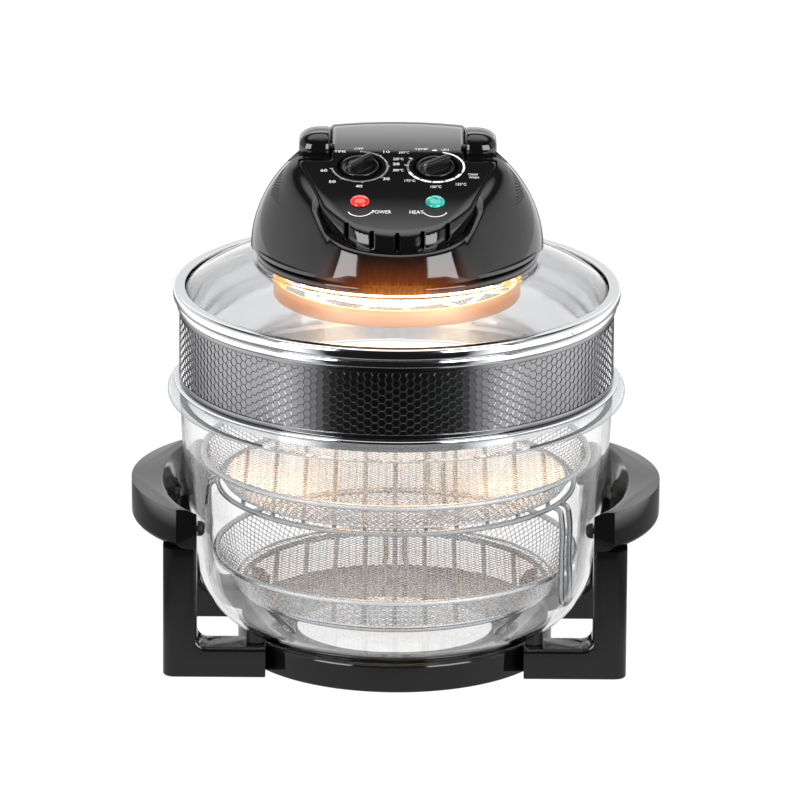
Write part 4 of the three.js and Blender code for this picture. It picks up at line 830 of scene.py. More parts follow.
def extruded(outline, offset):
    """A closed body from a flat outline of points, moved along an offset."""
    form = bmesh.new()
    form.faces.new([form.verts.new(p) for p in outline])
    made = bmesh.ops.extrude_face_region(form, geom=form.faces[:])
    bmesh.ops.translate(form, vec=offset,
                        verts=[v for v in made["geom"] if isinstance(v, bmesh.types.BMVert)])
    return clean(form)


def shield_column(grow, drop=0):
    """The cover's plan as a tall column, grown all round, its floor on the ledge or a drop below it."""
    ring = [Vector(p) for p in SHIELD]
    out = []
    for before, here, after in zip(ring[-1:] + ring[:-1], ring, ring[1:] + ring[:1]):
        a, b = (here - before).normalized(), (after - here).normalized()
        normal = Vector((a.y + b.y, -a.x - b.x)).normalized()
        out.append(here + normal * grow / max(normal.dot(Vector((a.y, -a.x))), 0.5))
    return extruded([(x, y, panel_height(y, LEDGE_DROP + grow + drop)) for x, y in out], (0, 0, 90 + drop))


def on_panel(form, x, y):
    """Moves a form from panel axes to its place on the sloping panel."""
    place = Matrix.Translation((x, y, panel_height(y))) @ Matrix.Rotation(TILT, 4, "X")
    bmesh.ops.transform(form, matrix=place, verts=form.verts)
    return form


def rod(radius, low, high, steps=72):
    """A plain round body on the axis, used to cut or fill."""
    return turned([(0, low), (radius, low), (radius, high), (0, high)], steps=steps)


# The carrying handle's arms run back over the dome; this is the line that their middle follows.
SPINE = [(14, 376), (40, 377), (66, 369), (94, 351), (127, 318)]
HANDLE_IN, HANDLE_OUT, HANDLE_THICK, BOSS = 51, 72, 11.4, 11.2
CHANNEL_ROOM = 1.1


def spine_at(share):
    """Place and direction in (y, z) along the arm's middle line, as a smooth curve."""
    n = len(SPINE) - 1
    i = min(int(share * n), n - 1)
    t = share * n - i
    p = [Vector(SPINE[min(max(j, 0), n)]) for j in range(i - 1, i + 3)]
    if i == 0:
        p[0] = 2 * p[1] - p[2]
    if i == n - 1:
        p[3] = 2 * p[2] - p[1]
    place = 0.5 * (2 * p[1] + (p[2] - p[0]) * t + (2 * p[0] - 5 * p[1] + 4 * p[2] - p[3]) * t * t
                   + (3 * p[1] - p[0] - 3 * p[2] + p[3]) * t ** 3)
    along = 0.5 * ((p[2] - p[0]) + 2 * (2 * p[0] - 5 * p[1] + 4 * p[2] - p[3]) * t
                   + 3 * (3 * p[1] - p[0] - 3 * p[2] + p[3]) * t * t)
    return place, along.normalized()


def arm_channels():
    """The room that the two arms need in the dome and cover."""
    rows = [spine_at(i / 24) for i in range(25)]
    half = HANDLE_THICK / 2 + CHANNEL_ROOM
    outline = [(y - dz * half * 4, z + dy * half * 4) for (y, z), (dy, dz) in rows]
    outline += [(y + dz * half, z - dy * half) for (y, z), (dy, dz) in rows[::-1]]
    tools = []
    for side in (-1, 1):
        x0, x1 = side * (HANDLE_IN - 1.25), side * (HANDLE_OUT + 10)
        tools.append(extruded([(x0, y, z) for y, z in outline], (x1 - x0, 0, 0)))
        boss = rod(BOSS + CHANNEL_ROOM, min(x0, x1), max(x0, x1))
        bmesh.ops.rotate(boss, cent=(0, 0, 0), matrix=Matrix.Rotation(pi / 2, 3, "Y"), verts=boss.verts)
        bmesh.ops.translate(boss, vec=(0, *SPINE[0]), verts=boss.verts)
        tools.append(boss)
    return tools


WELL_X, WELL_Y, WELL_R, WELL_DEEP, WELL_WALL = 27.6, -12.5, 16.8, 5, 2.2
LENS_X, LENS_Y, LENS_HOLE, SPINDLE_HOLE = 27.2, -57.4, 5.6, 5.9
VENTS, VENT_PITCH, VENT_WIDE, VENT_BEAD = 5, 18.2, 2.9, 0.42


def vent_slot(x):
    """A slot through the nose of the cover, with a round foot."""
    deep = -62 if abs(x) > VENT_PITCH * 1.5 else -79
    outline = [(a, -118, b) for a, b in vent_outline(x, VENT_WIDE / 2)]
    return extruded(outline, (0, 118 + deep, 0))


def nose_wall(x):
    """Where the shield's wall stands, in y, at an x."""
    return float(np.interp(abs(x), [p[0] for p in NOSE], [p[1] for p in NOSE]))


def vent_outline(x, half):
    """A slot's outline in (x, z): down one side, round its foot and up the other."""
    top, low = panel_height(nose_wall(x), 1.2), panel_height(nose_wall(x), LEDGE_DROP - 2.6)
    arc = [(x + half * cos(t), low + half * sin(t)) for t in [pi + pi * i / 8 for i in range(9)]]
    return [(x - half, top)] + arc + [(x + half, top)]


cover = carved(head_solid(120, 0, DOME_LOW, cover=True), shield_column(0), operation="INTERSECT")
hollow = head_solid(24, DOME_WALL + 0.6, DOME_LOW + DOME_WALL, cover=True)
cover = carved(cover, carved(hollow, shield_column(-DOME_WALL, 30), operation="INTERSECT"))
dome = carved(head_solid(150, 0, DOME_LOW), head_solid(24, DOME_WALL + 0.6, DOME_LOW + DOME_WALL),
              rod(NECK_IN, 300, 312, 160), shield_column(0.35), *arm_channels())
wells = [on_panel(rod(WELL_R + WELL_WALL, -WELL_DEEP - WELL_WALL, -0.6), side * WELL_X, WELL_Y)
         for side in (-1, 1)]
cover = carved(cover, *wells, operation="UNION")
cuts = [on_panel(rod(WELL_R, -WELL_DEEP, 9), side * WELL_X, WELL_Y) for side in (-1, 1)]
cuts += [on_panel(rod(LENS_HOLE, -12, 9, 40), side * LENS_X, LENS_Y) for side in (-1, 1)]
cuts += [on_panel(rod(SPINDLE_HOLE, -12, 9, 40), side * WELL_X, WELL_Y) for side in (-1, 1)]
vent_places = [(i - (VENTS - 1) / 2) * VENT_PITCH for i in range(VENTS)]
cuts += [vent_slot(x) for x in vent_places]
cover = carved(cover, *cuts, *arm_channels())
piece("upper_cover_moulding", cover, gloss_black, "lid", ["upper_cover"], smooth=40)
beads = [[(a, nose_wall(a) - 0.15, b) for a, b in vent_outline(x, VENT_WIDE / 2 + 0.5)] for x in vent_places]
placed("vent_beads", wires(beads, VENT_BEAD, smooth=False, sides=1), gloss_black, "lid")
# The dome's foot carries the painted reflection of the heater's glow.
piece("dome_moulding", dome, painted_glow_black, "lid", ["dome_housing"], smooth=40)
neck = turned([(NECK_IN, 303.8), (98, 303.8), (98, 306.2), (104.5, 306.2), (104.5, 308.8), (NECK_IN, 308.8)],
              steps=160)
piece("dome_neck", neck, gloss_black, "lid")


# Side vents: small round perforations in each flank of the dome, behind the control panel.
# They are painted shade: flat dark discs on the dome, as the space behind the holes is unlit.
HOLE_ROWS, HOLE_COLUMNS, HOLE_RADIUS, HEAD_MIDDLE = 13, 7, 0.62, (0, -8, 312)
# The patch's corners: inner and outer at the top, then outer and inner at the foot.
PATCH = [(-79, 0, 366.5), (-84.8, -1.5, 360.2), (-93.2, -13, 347.7), (-90, -29.5, 346.6)]

# Painted shade for the holes: near-black and matt, for the unlit inside that throws almost no light back.
unlit, tree, shader = finish("unlit matt black", Base_Color=linear("#020202"), Roughness=0.9)


def out_to_head(points):
    """Moves points along rays from the head's middle until they lie on its surface."""
    start = np.array(HEAD_MIDDLE, float)
    rays = np.array(points, float) - start
    rays /= np.linalg.norm(rays, axis=1)[:, None]
    near, far = np.zeros(len(rays)), np.full(len(rays), HEAD_REACH)
    for _ in range(24):
        middle = (near + far) / 2
        beyond = outside_head(start + rays * middle[:, None]) > 0
        far, near = np.where(beyond, middle, far), np.where(beyond, near, middle)
    return start + rays * near[:, None], rays


def perforations():
    """The holes of the left flank, as small dark discs on the dome."""
    top_in, top_out, low_out, low_in = (Vector(p) for p in PATCH)
    centres = []
    for i in range(HOLE_ROWS):
        for j in range(HOLE_COLUMNS):
            down, along = i / (HOLE_ROWS - 1), (j + (i % 2) / 2) / (HOLE_COLUMNS - 0.5)
            centres.append(top_in.lerp(top_out, along).lerp(low_in.lerp(low_out, along), down))
    form = bmesh.new()
    for place, ray in zip(*out_to_head(centres)):
        turn = Vector((0, 0, 1)).rotation_difference(Vector(ray)).to_matrix()
        made = bmesh.ops.create_circle(form, cap_ends=True, segments=10, radius=HOLE_RADIUS)
        for v in made["verts"]:
            v.co = turn @ v.co + Vector(place)
    flat, rays = out_to_head([v.co for v in form.verts])
    for v, place, ray in zip(form.verts, flat, rays):
        v.co = Vector(place + ray * 0.05)
    return form


for side, x in (("left", 1), ("right", -1)):
    piece(f"{side}_dome_perforations", mirrored(perforations(), x), unlit, "lid")


# Dial print: white pad printing on the panel, laid on its surface.
# It carries scales, numbers and plain words only.
DIAL_TICKS, DIAL_RING, HEAT_RING = 61, 19.5, 20.6
PRINT_LIFT, PRINT_LOW, PRINT_HIGH = 0.07, 325.0, 405.0

# Pad-print ink is thin and matt. A trace of emission keeps it white beside the mirror-like black.
ink, tree, shader = finish("white pad-print ink", Base_Color=linear("#f2f2f0"), Roughness=0.55,
                           Emission_Color=linear("#ffffff"), Emission_Strength=0.12)


def drape(form):
    """Lowers flat print onto the panel."""
    flat = np.array([v.co for v in form.verts])
    low, high = np.full(len(flat), PRINT_LOW), np.full(len(flat), PRINT_HIGH)
    for _ in range(22):
        flat[:, 2] = (low + high) / 2
        beyond = outside_head(flat, True) > 0
        high, low = np.where(beyond, flat[:, 2], high), np.where(beyond, low, flat[:, 2])
    for v, z in zip(form.verts, low):
        v.co.z = z + PRINT_LIFT
    return form


def stroke(form, centre, radius, width, start, end, steps=0):
    """A flat arc; angles run clockwise in degrees from the top of the dial."""
    steps = steps or max(int(abs(end - start) / 4), 1)
    rows = []
    for i in range(steps + 1):
        a = radians(start + (end - start) * i / steps)
        rows.append([form.verts.new((centre[0] + r * sin(a), centre[1] + r * cos(a) * cos(TILT), 0))
                     for r in (radius - width / 2, radius + width / 2)])
    for a, b in zip(rows, rows[1:]):
        form.faces.new((a[0], a[1], b[1], b[0]))


def label(text, x, y, wide, high):
    """A word or number as flat mesh, fitted to a width and height."""
    curve = bpy.data.curves.new("label", "FONT")
    curve.body = text
    curve.resolution_u = 3
    made = bpy.data.objects.new("label", curve)
    scene.collection.objects.link(made)
    mesh = bpy.data.meshes.new_from_object(made)
    bpy.data.objects.remove(made)
    bpy.data.curves.remove(curve)
    spots = [v.co.copy() for v in mesh.vertices]
    x0, x1 = min(v.x for v in spots), max(v.x for v in spots)
    y0, y1 = min(v.y for v in spots), max(v.y for v in spots)
    for v in mesh.vertices:
        v.co = (x + ((v.co.x - x0) / (x1 - x0) - 0.5) * wide,
                y + ((v.co.y - y0) / (y1 - y0) - 0.5) * high * cos(TILT), 0)
    return mesh


timer_at, heat_at = (-WELL_X, WELL_Y), (WELL_X, WELL_Y)
print_form = bmesh.new()
for minute in range(DIAL_TICKS):
    angle = 2 + minute * 4.33
    length = 2.4 if minute % 10 == 0 else 1.5
    stroke(print_form, timer_at, DIAL_RING + length / 2, length, angle - 0.5, angle + 0.5, 1)
stroke(print_form, heat_at, HEAT_RING, 1.5, 14, 108)
stroke(print_form, heat_at, HEAT_RING, 0.5, 108, 250)
for start, end in ((118, 134), (138, 160), (164, 186), (190, 212), (216, 232), (236, 250)):
    stroke(print_form, heat_at, 20.3, 2.1, start, end)
for minute in range(10):
    stroke(print_form, heat_at, 20.4, 1.5, 254 + minute * 5.2, 255 + minute * 5.2, 1)
for angle in (275, 301):
    stroke(print_form, heat_at, 21.2, 3, angle, angle + 1.8, 1)
stroke(print_form, heat_at, 23.4, 1.8, -6, 2)
for x in (-LENS_X, LENS_X):
    stroke(print_form, (x, LENS_Y - 8), 9.4, 0.75, 116, 244)
labels = [(-WELL_X, WELL_Y, item) for item in
          (("OFF", -0.8, 25.6, 6.6, 3.2), ("TIME", -14.4, 20.6, 8.2, 3.2), ("10", 19.4, 20.4, 4.6, 3.2),
           ("20", 26.4, 3.6, 4.9, 3.3), ("30", 19.4, -16.4, 4.9, 3.4), ("40", -0.4, -26.4, 4.9, 3.4),
           ("50", -19.8, -20.6, 4.9, 3.4), ("60", -26, -5.6, 4.9, 3.4))]
labels += [(WELL_X, WELL_Y, item) for item in
           (("TEMP", -10.6, 25.4, 9.6, 3.2), ("ON", 6.8, 24.6, 5.4, 3.2), ("250°C", -23.2, 19.6, 7.6, 3.1),
            ("225°C", -27.2, 10.4, 7.6, 3.1), ("200°C", -27.2, -4.6, 7.6, 3.2),
            ("175°C", -18.6, -18.6, 7.8, 3.2), ("150°C", 0.2, -26.4, 7.8, 3.3),
            ("125°C", 18.4, -22.8, 7.6, 3.3), ("THAW", 27, -9.8, 7.2, 2.6), ("WASH", 27.6, -13.8, 7.2, 2.6))]
labels += [(0, LENS_Y, item) for item in (("POWER", -11.4, -12.2, 13.8, 4), ("HEAT", 13.8, -12.2, 10.2, 4))]
meshes = [label(text, x + across, y + up * cos(TILT), wide, high)
          for x, y, (text, across, up, wide, high) in labels]
flat_print = bpy.data.meshes.new("scale")
print_form.to_mesh(flat_print)
print_form.free()
words = bmesh.new()
words.from_mesh(joined(meshes + [flat_print]))
piece("dial_print", drape(words), ink, "lid")


# Knobs: two moulded black dials, each a dished disc with a tall ridge across it to turn it by.
# They sit in round wells in the panel, so that only the ridge stands above it.
TIMER_TURN, HEAT_TURN, KNOB_RADIUS = 44, 215, 13.8

# The knobs' tool was less polished than the cover's, so their reflections are softer.
knob_black, tree, shader = finish("moulded black knob plastic", Base_Color=linear("#0e0e0f"), IOR=1.5)
grain(tree, shader, 3, 0.12, 0.2, bump=0.004)


def knob(turn, x):
    """A knob with its ridge turned by an angle, in its well at an x; rows are (height, long, wide)."""
    disc = turned([(0, -4.4), (KNOB_RADIUS, -4.4), (KNOB_RADIUS, 1.2), (12.4, 1.2), (9.6, -1.2), (0, -1.6)],
                  {1: 0.4, 2: 0.7, 3: 0.5, 4: 2.0}, steps=96)
    rows = ((-3, 13.2, 4.4), (-1, 13.0, 3.4), (0.4, 12.9, 2.7), (3, 12.6, 2.2), (5.6, 11.9, 1.7),
            (6.8, 11.2, 1.3), (7.2, 10.5, 0.8))
    ridge = lofted([oval(long, wide, 0.35, z, 64, 0) for z, long, wide in rows])
    form = carved(disc, ridge, operation="UNION")
    bmesh.ops.rotate(form, cent=(0, 0, 0), matrix=Matrix.Rotation(radians(turn), 3, "Z"), verts=form.verts)
    return on_panel(form, x, WELL_Y)


piece("timer_knob_moulding", knob(TIMER_TURN, -WELL_X), knob_black, "timer_dial", ["timer_knob"],
      smooth=40)
piece("thermostat_knob_moulding", knob(HEAT_TURN, WELL_X), knob_black, "thermostat_dial",
      ["thermostat_knob"], smooth=40)


# Lamps: two clear coloured lenses with cut facets inside, each over a small neon lamp.
# Each is snapped into its hole from above, and its rounded flange lies on the panel.
LENS_RADIUS, LENS_FLANGE, FACET = 5.4, 7, 2.6


def lens_plastic(name, deep, bright, glow):
    """Clear coloured plastic, its facets given painted light by emission, as if lit from behind by the lamp.
    """
    material, tree, shader = finish(name, Base_Color=linear(deep), Roughness=0.06, IOR=1.5, Coat_Weight=0.6)
    place = add(tree, "ShaderNodeTexCoord")
    facets = add(tree, "ShaderNodeTexVoronoi", {"Scale": 1 / (FACET * MM)}, Vector=place.outputs["Object"])
    share = add(tree, "ShaderNodeSeparateColor", _0=facets.outputs["Color"])
    tone = add(tree, "ShaderNodeMix", {"data_type": "RGBA", 6: linear(deep), 7: linear(bright)},
               _0=share.outputs[0])
    tree.links.new(tone.outputs[2], shader.inputs["Emission Color"])
    shader.inputs["Emission Strength"].default_value = glow
    tilt = add(tree, "ShaderNodeBump", {"Strength": 0.7, "Distance": 0.6 * MM}, Height=share.outputs[1])
    tree.links.new(tilt.outputs[0], shader.inputs["Normal"])
    return material


def crown_drop(y):
    """How far the panel's crown lies below its plane."""
    return CROWN * max((-y - CROWN_FROM) / CROWN_SPAN, 0) ** 2


def lens(x):
    """A lens in its hole at an x."""
    form = turned([(0, -6.5), (LENS_RADIUS, -6.5), (LENS_RADIUS, 0), (LENS_FLANGE, 0), (6.9, 1.3),
                   (5.6, 2.5), (3, 3.3), (0, 3.5)], {3: 0.2, 4: 0.5}, steps=48)
    on_panel(form, x, LENS_Y)
    bmesh.ops.translate(form, vec=(0, 0, -crown_drop(LENS_Y)), verts=form.verts)
    return form


red = lens_plastic("clear red lens plastic", "#8c0a0c", "#ff4a3c", 0.9)
green = lens_plastic("clear green lens plastic", "#04706a", "#4fe0cc", 0.75)
piece("power_lens_moulding", lens(-LENS_X), red, "lid", ["power_lens"], smooth=50)
piece("heat_lens_moulding", lens(LENS_X), green, "lid", ["heat_lens"], smooth=50)


# Carrying handle: a gloss black U moulding, hinged on two pins beside the cover's hump.
# Its arms are well rounded on the outside and lie in channels; the bar runs behind the dome.
ARM_IN = HANDLE_IN - 1.05


def arm_section(inner, outer, half):
    """Cross-section of an arm in (x, thickness), from the inner edge round over the outer one."""
    points = [(inner, -half + 1.6), (inner, half - 1.6), (inner + 0.5, half - 0.5), (inner + 1.6, half)]
    for i in range(10):
        a = pi / 2 * (1 - i / 9)
        points.append((inner + 7 + (outer - inner - 7) * cos(a), -half + 3 + (2 * half - 3) * sin(a)))
    return points + [(outer - 1, -half + 1), (outer - 3, -half), (inner + 1.6, -half)]


def handle_form():
    """Two arms with their bosses, joined by the bar."""
    tools = []
    section = arm_section(ARM_IN, HANDLE_OUT, HANDLE_THICK / 2)
    for side in (1, -1):
        loops = []
        for i in range(29):
            (y, z), (dy, dz) = spine_at(i / 28)
            loops.append([(side * x, y - dz * n, z + dy * n) for x, n in section])
        tools.append(lofted(loops))
        rows = [(ARM_IN, BOSS - 0.6), (HANDLE_IN - 0.4, BOSS - 0.1), (HANDLE_IN + 0.5, BOSS - 0.4),
                (HANDLE_IN + 1.6, BOSS)]
        rows += [(HANDLE_IN + 6 + (HANDLE_OUT - HANDLE_IN - 6) * sin(a), 2.6 + (BOSS - 2.6) * cos(a))
                 for a in [pi / 2 * i / 10 for i in range(11)]]
        boss = turned([(0, ARM_IN)] + [(r, x) for x, r in rows] + [(0, HANDLE_OUT)], steps=72)
        bmesh.ops.rotate(boss, cent=(0, 0, 0), matrix=Matrix.Rotation(side * pi / 2, 3, "Y"),
                         verts=boss.verts)
        bmesh.ops.translate(boss, vec=(0, *SPINE[0]), verts=boss.verts)
        tools.append(boss)
    half = HANDLE_THICK / 2
    rows = []
    # The bar spans the last seventh of the arms and is thinner at its two edges.
    for i in range(7):
        (y, z), (dy, dz) = spine_at((12 + 2 * i / 6) / 14)
        inset = 1.6 if i in (0, 6) else 0
        rows.append(((y, z), (dy, dz), half - inset))
    outline = [(y - dz * n, z + dy * n) for (y, z), (dy, dz), n in rows]
    outline += [(y + dz * n, z - dy * n) for (y, z), (dy, dz), n in rows[::-1]]
    tools.append(extruded([(-HANDLE_OUT + 3, y, z) for y, z in outline], (2 * HANDLE_OUT - 6, 0, 0)))
    return carved(tools[0], *tools[1:], operation="UNION")


piece("carry_handle_moulding", handle_form(), gloss_black, "handle", ["carry_handle"],
      smooth=35)


# Handle pins: two short steel pins, each pressed through an arm's boss into the side of the hump.
# The handle turns on them, and their outer ends stay hidden in the bosses.
PIN_RADIUS, PIN_IN, PIN_OUT, PIN_DROP = 2.4, 46, 67.6, 0.6

# Hot-oxide finish on turned steel: nearly black, dull, with a faint metallic light.
black_steel, tree, shader = finish("black oxide steel", Base_Color=linear("#3a3a3c"), Metallic=1.0)
grain(tree, shader, 1.5, 0.3, 0.4)
for side, x in (("left", -1), ("right", 1)):
    pin = turned([(0, PIN_IN), (PIN_RADIUS, PIN_IN), (PIN_RADIUS, PIN_OUT), (0, PIN_OUT)],
                 {1: 0.4, 2: 0.4}, steps=32)
    bmesh.ops.rotate(pin, cent=(0, 0, 0), matrix=Matrix.Rotation(x * pi / 2, 3, "Y"), verts=pin.verts)
    bmesh.ops.translate(pin, vec=(0, SPINE[0][0], SPINE[0][1] - PIN_DROP), verts=pin.verts)
    piece(f"{side}_handle_pin_rod", pin, black_steel, "lid", [f"{side}_handle_pin"])


# Heater: a glowing halogen ring in a bright pan, behind a steel guard that the heat has tinted.
# Round it stand the fans, motor, timer and thermostat, whose CAD solids are given their finishes here.
GUARD_IN, GUARD_OUT, GUARD_LOW, GUARD_TOP = 88.5, 89.7, 269.4, 281.5

# Quartz round a white-hot filament: nearly white in the middle, orange where the tube turns away.
quartz_glow, tree, shader = finish("glowing quartz tube", Base_Color=linear("#ffe2b0"), Roughness=0.1)
edge = add(tree, "ShaderNodeLayerWeight", {"Blend": 0.35})
warmth = add(tree, "ShaderNodeMix", {"data_type": "RGBA", 6: linear("#fff0d0"), 7: linear("#ff9a3a")},
             _0=edge.outputs["Facing"])
tree.links.new(warmth.outputs[2], shader.inputs["Emission Color"])
shader.inputs["Emission Strength"].default_value = 14
# A neon lamp's own dim orange.
neon_glow, tree, shader = finish("glowing neon lamp", Base_Color=linear("#ffb070"), Roughness=0.2,
                                 Emission_Color=linear("#ff7a30"), Emission_Strength=2.0)
# Cold-rolled sheet as it comes from the mill: grey, with a soft light along the roll.
plain_steel, tree, shader = finish("plain steel sheet", Base_Color=linear("#b9babc"), Metallic=1.0)
grain(tree, shader, 3, 0.22, 0.34, stretch=(1, 1, 5))
# Bright steel right beside the tube, with its light painted on: emission floods every face except where one
# looks up and away.
painted_lit_steel, tree, shader = finish("steel lit by the heater", Base_Color=linear("#e8d8c0"), Metallic=1.0,
                                 Emission_Color=linear("#ffd2a0"))
grain(tree, shader, 3, 0.22, 0.34)
face = add(tree, "ShaderNodeNewGeometry")
facing = add(tree, "ShaderNodeSeparateXYZ", Vector=face.outputs["Normal"])
upward = add(tree, "ShaderNodeMapRange", {"From Min": 0.2, "From Max": 0.5, "To Min": 2.4, "To Max": 0.0},
             Value=facing.outputs[2])
tree.links.new(upward.outputs[0], shader.inputs["Emission Strength"])
# Steel tinted straw to copper by the heat, its grain upright, with painted light from its top edge down:
# orange emission, brightest at the top.
heat_tinted_painted_glow_steel, tree, shader = finish("heat-tinted steel sheet", Base_Color=linear("#e0b48e"), Metallic=1.0)
grain(tree, shader, 2, 0.28, 0.42, stretch=(1, 1, 0.12))
place = add(tree, "ShaderNodeTexCoord")
split = add(tree, "ShaderNodeSeparateXYZ", Vector=place.outputs["Object"])
height = add(tree, "ShaderNodeMapRange", {"From Min": GUARD_LOW * MM, "From Max": GUARD_TOP * MM},
             Value=split.outputs[2])
glow = add(tree, "ShaderNodeValToRGB", _0=height.outputs[0])
ramp = glow.color_ramp
ramp.elements[0].color = linear("#7a3c1a")
ramp.elements[1].color = linear("#ffcf96")
ramp.elements.new(0.55).color = linear("#c46a34")
tree.links.new(glow.outputs[0], shader.inputs["Emission Color"])
shader.inputs["Emission Strength"].default_value = 0.55
# Soft aluminium from a press: pale, with a satin light.
pressed_aluminium, tree, shader = finish("pressed aluminium", Base_Color=linear("#d6d7d9"), Metallic=1.0)
grain(tree, shader, 2, 0.25, 0.4)
# Unglazed steatite: off-white and chalky.
steatite, tree, shader = finish("steatite ceramic", Base_Color=linear("#e2dccb"))
grain(tree, shader, 1.5, 0.5, 0.7, bump=0.02)
# Moulded plastic with a fine spark-eroded grain, which shows no sharp reflection.
satin_plastic, tree, shader = finish("satin black plastic", Base_Color=linear("#151516"), IOR=1.5)
grain(tree, shader, 0.6, 0.35, 0.5, bump=0.008)

guard = turned([(GUARD_IN, GUARD_LOW), (GUARD_OUT, GUARD_LOW), (GUARD_OUT, GUARD_TOP), (GUARD_IN, GUARD_TOP)],
               {0: 0.3, 1: 0.5, 2: 0.5, 3: 0.3}, steps=192)
# The guard band has a heat tint and a painted glow from the heater.
piece("guard_ring_band", guard, heat_tinted_painted_glow_steel, "lid", ["guard_ring"])
# The heater pan, grille and brackets carry light from the tube that is painted on by emission.
inside_materials = {
    "halogen_tube": quartz_glow, "power_neon": neon_glow, "heat_neon": neon_glow,
    "heater_pan": painted_lit_steel, "guard_grille": painted_lit_steel, "guard_bracket_1": painted_lit_steel,
    "guard_bracket_2": painted_lit_steel, "guard_bracket_3": painted_lit_steel,
    "motor_bridge": plain_steel, "fan_motor": plain_steel,
    "timer_spindle": stainless, "thermostat_spindle": stainless, "fan_shaft": stainless,
    "left_tube_holder": steatite, "right_tube_holder": steatite, "interlock_plunger": steatite,
    "timer_body": satin_plastic, "thermostat_body": satin_plastic, "interlock_switch": satin_plastic,
    "cooling_fan": satin_plastic, "convection_fan": pressed_aluminium, "cord_gland": silicone,
}
for name, material in inside_materials.items():
    for slot in nodes[name].material_slots:
        slot.material = material


# Studio: a white table that ends close in front of the oven, in a dark room with a white backdrop.
# Two tall softboxes stand beside the camera, and a light card hangs above and behind the oven.
TABLE_FRONT, TABLE_BACK, TABLE_HALF = -0.35, 9, 6
CARD_Y, CARD_LOW, CARD_HIGH, CARD_HALF, CARD_FULL, CARD_GONE = 0.3, 0.5, 0.585, 0.12, 0.535, 0.56
BOX_AWAY, BOX_HIGH, BOX_MIDDLE = 2.6, 1.71, 0.905


def card(name, corners, material):
    """A flat sheet that belongs to the studio."""
    mesh = bpy.data.meshes.new(name)
    mesh.from_pydata(corners, [], [list(range(len(corners)))])
    made = bpy.data.objects.new(name, mesh)
    scene.collection.objects.link(made)
    made.data.materials.append(material)
    return made


# Matt white laminate. To the camera and through the glass it is plain white. What the oven mirrors of
# it is graded: bright at the sides, darker close in front.
table_white, tree, shader = finish("matt white table top", Base_Color=linear("#383838"), Roughness=0.9)
place = add(tree, "ShaderNodeTexCoord")
spot = add(tree, "ShaderNodeSeparateXYZ", Vector=place.outputs["Object"])
aside = add(tree, "ShaderNodeMath", {"operation": "ABSOLUTE"}, _0=spot.outputs[0])
sides = add(tree, "ShaderNodeMapRange", {"From Min": 0.5, "From Max": 0.9, "To Min": 0, "To Max": 2.5},
            Value=aside.outputs[0])
level = add(tree, "ShaderNodeMapRange", {"From Min": 0.15, "From Max": 0.6, "To Min": 1, "To Max": 0.7},
            Value=spot.outputs[1])
beside = add(tree, "ShaderNodeMath", {"operation": "MULTIPLY"}, _0=sides.outputs[0], _1=level.outputs[0])
back = add(tree, "ShaderNodeMapRange", {"From Min": -0.34, "From Max": -0.1, "To Min": 0.04, "To Max": 0.55},
           Value=spot.outputs[1])
flank = add(tree, "ShaderNodeMapRange", {"From Min": 0.21, "From Max": 0.3, "To Min": 1, "To Max": 0.3},
            Value=aside.outputs[0])
under = add(tree, "ShaderNodeMath", {"operation": "MULTIPLY"}, _0=back.outputs[0], _1=flank.outputs[0])
graded = add(tree, "ShaderNodeMath", {"operation": "MAXIMUM"}, _0=beside.outputs[0], _1=under.outputs[0])
path = add(tree, "ShaderNodeLightPath")
clear = add(tree, "ShaderNodeMath", {"operation": "GREATER_THAN", 1: 0.5},
            _0=path.outputs["Transmission Depth"])
shown = add(tree, "ShaderNodeMath", {"operation": "MAXIMUM"}, _0=path.outputs["Is Camera Ray"],
            _1=clear.outputs[0])
strength = add(tree, "ShaderNodeMix", {"data_type": "FLOAT", 3: 1.0}, _0=shown.outputs[0],
               _2=graded.outputs[0])
shader.inputs["Emission Color"].default_value = linear("#ffffff")
tree.links.new(strength.outputs[0], shader.inputs["Emission Strength"])
card("floor", [(-TABLE_HALF, TABLE_FRONT, 0), (TABLE_HALF, TABLE_FRONT, 0), (TABLE_HALF, TABLE_BACK, 0),
               (-TABLE_HALF, TABLE_BACK, 0)], table_white)

# The room: white to the camera and through the glass. The light that falls on the oven and shows in
# its gloss is shaded: dark in front, brighter behind and overhead.
world = bpy.data.worlds.new("studio")
scene.world = world
world.use_nodes = True
tree = world.node_tree
backdrop = tree.nodes["Background"]
place = add(tree, "ShaderNodeTexCoord")
split = add(tree, "ShaderNodeSeparateXYZ", Vector=place.outputs["Generated"])
lift = add(tree, "ShaderNodeMath", {"operation": "ARCSINE"}, _0=split.outputs[2])
level = add(tree, "ShaderNodeMapRange", {"From Min": -pi / 2, "From Max": pi / 2}, Value=lift.outputs[0])


def shades(stops):
    """Brightness over elevation; stops are (degrees above the horizon, brightness)."""
    ramp = add(tree, "ShaderNodeValToRGB", _0=level.outputs[0])
    elements = ramp.color_ramp.elements
    while len(elements) > 1:
        elements.remove(elements[-1])
    elements[0].position = 0
    elements[0].color = (stops[0][1], stops[0][1], stops[0][1], 1)
    for angle, bright in stops[1:]:
        elements.new((angle + 90) / 180).color = (bright, bright, bright, 1)
    return ramp


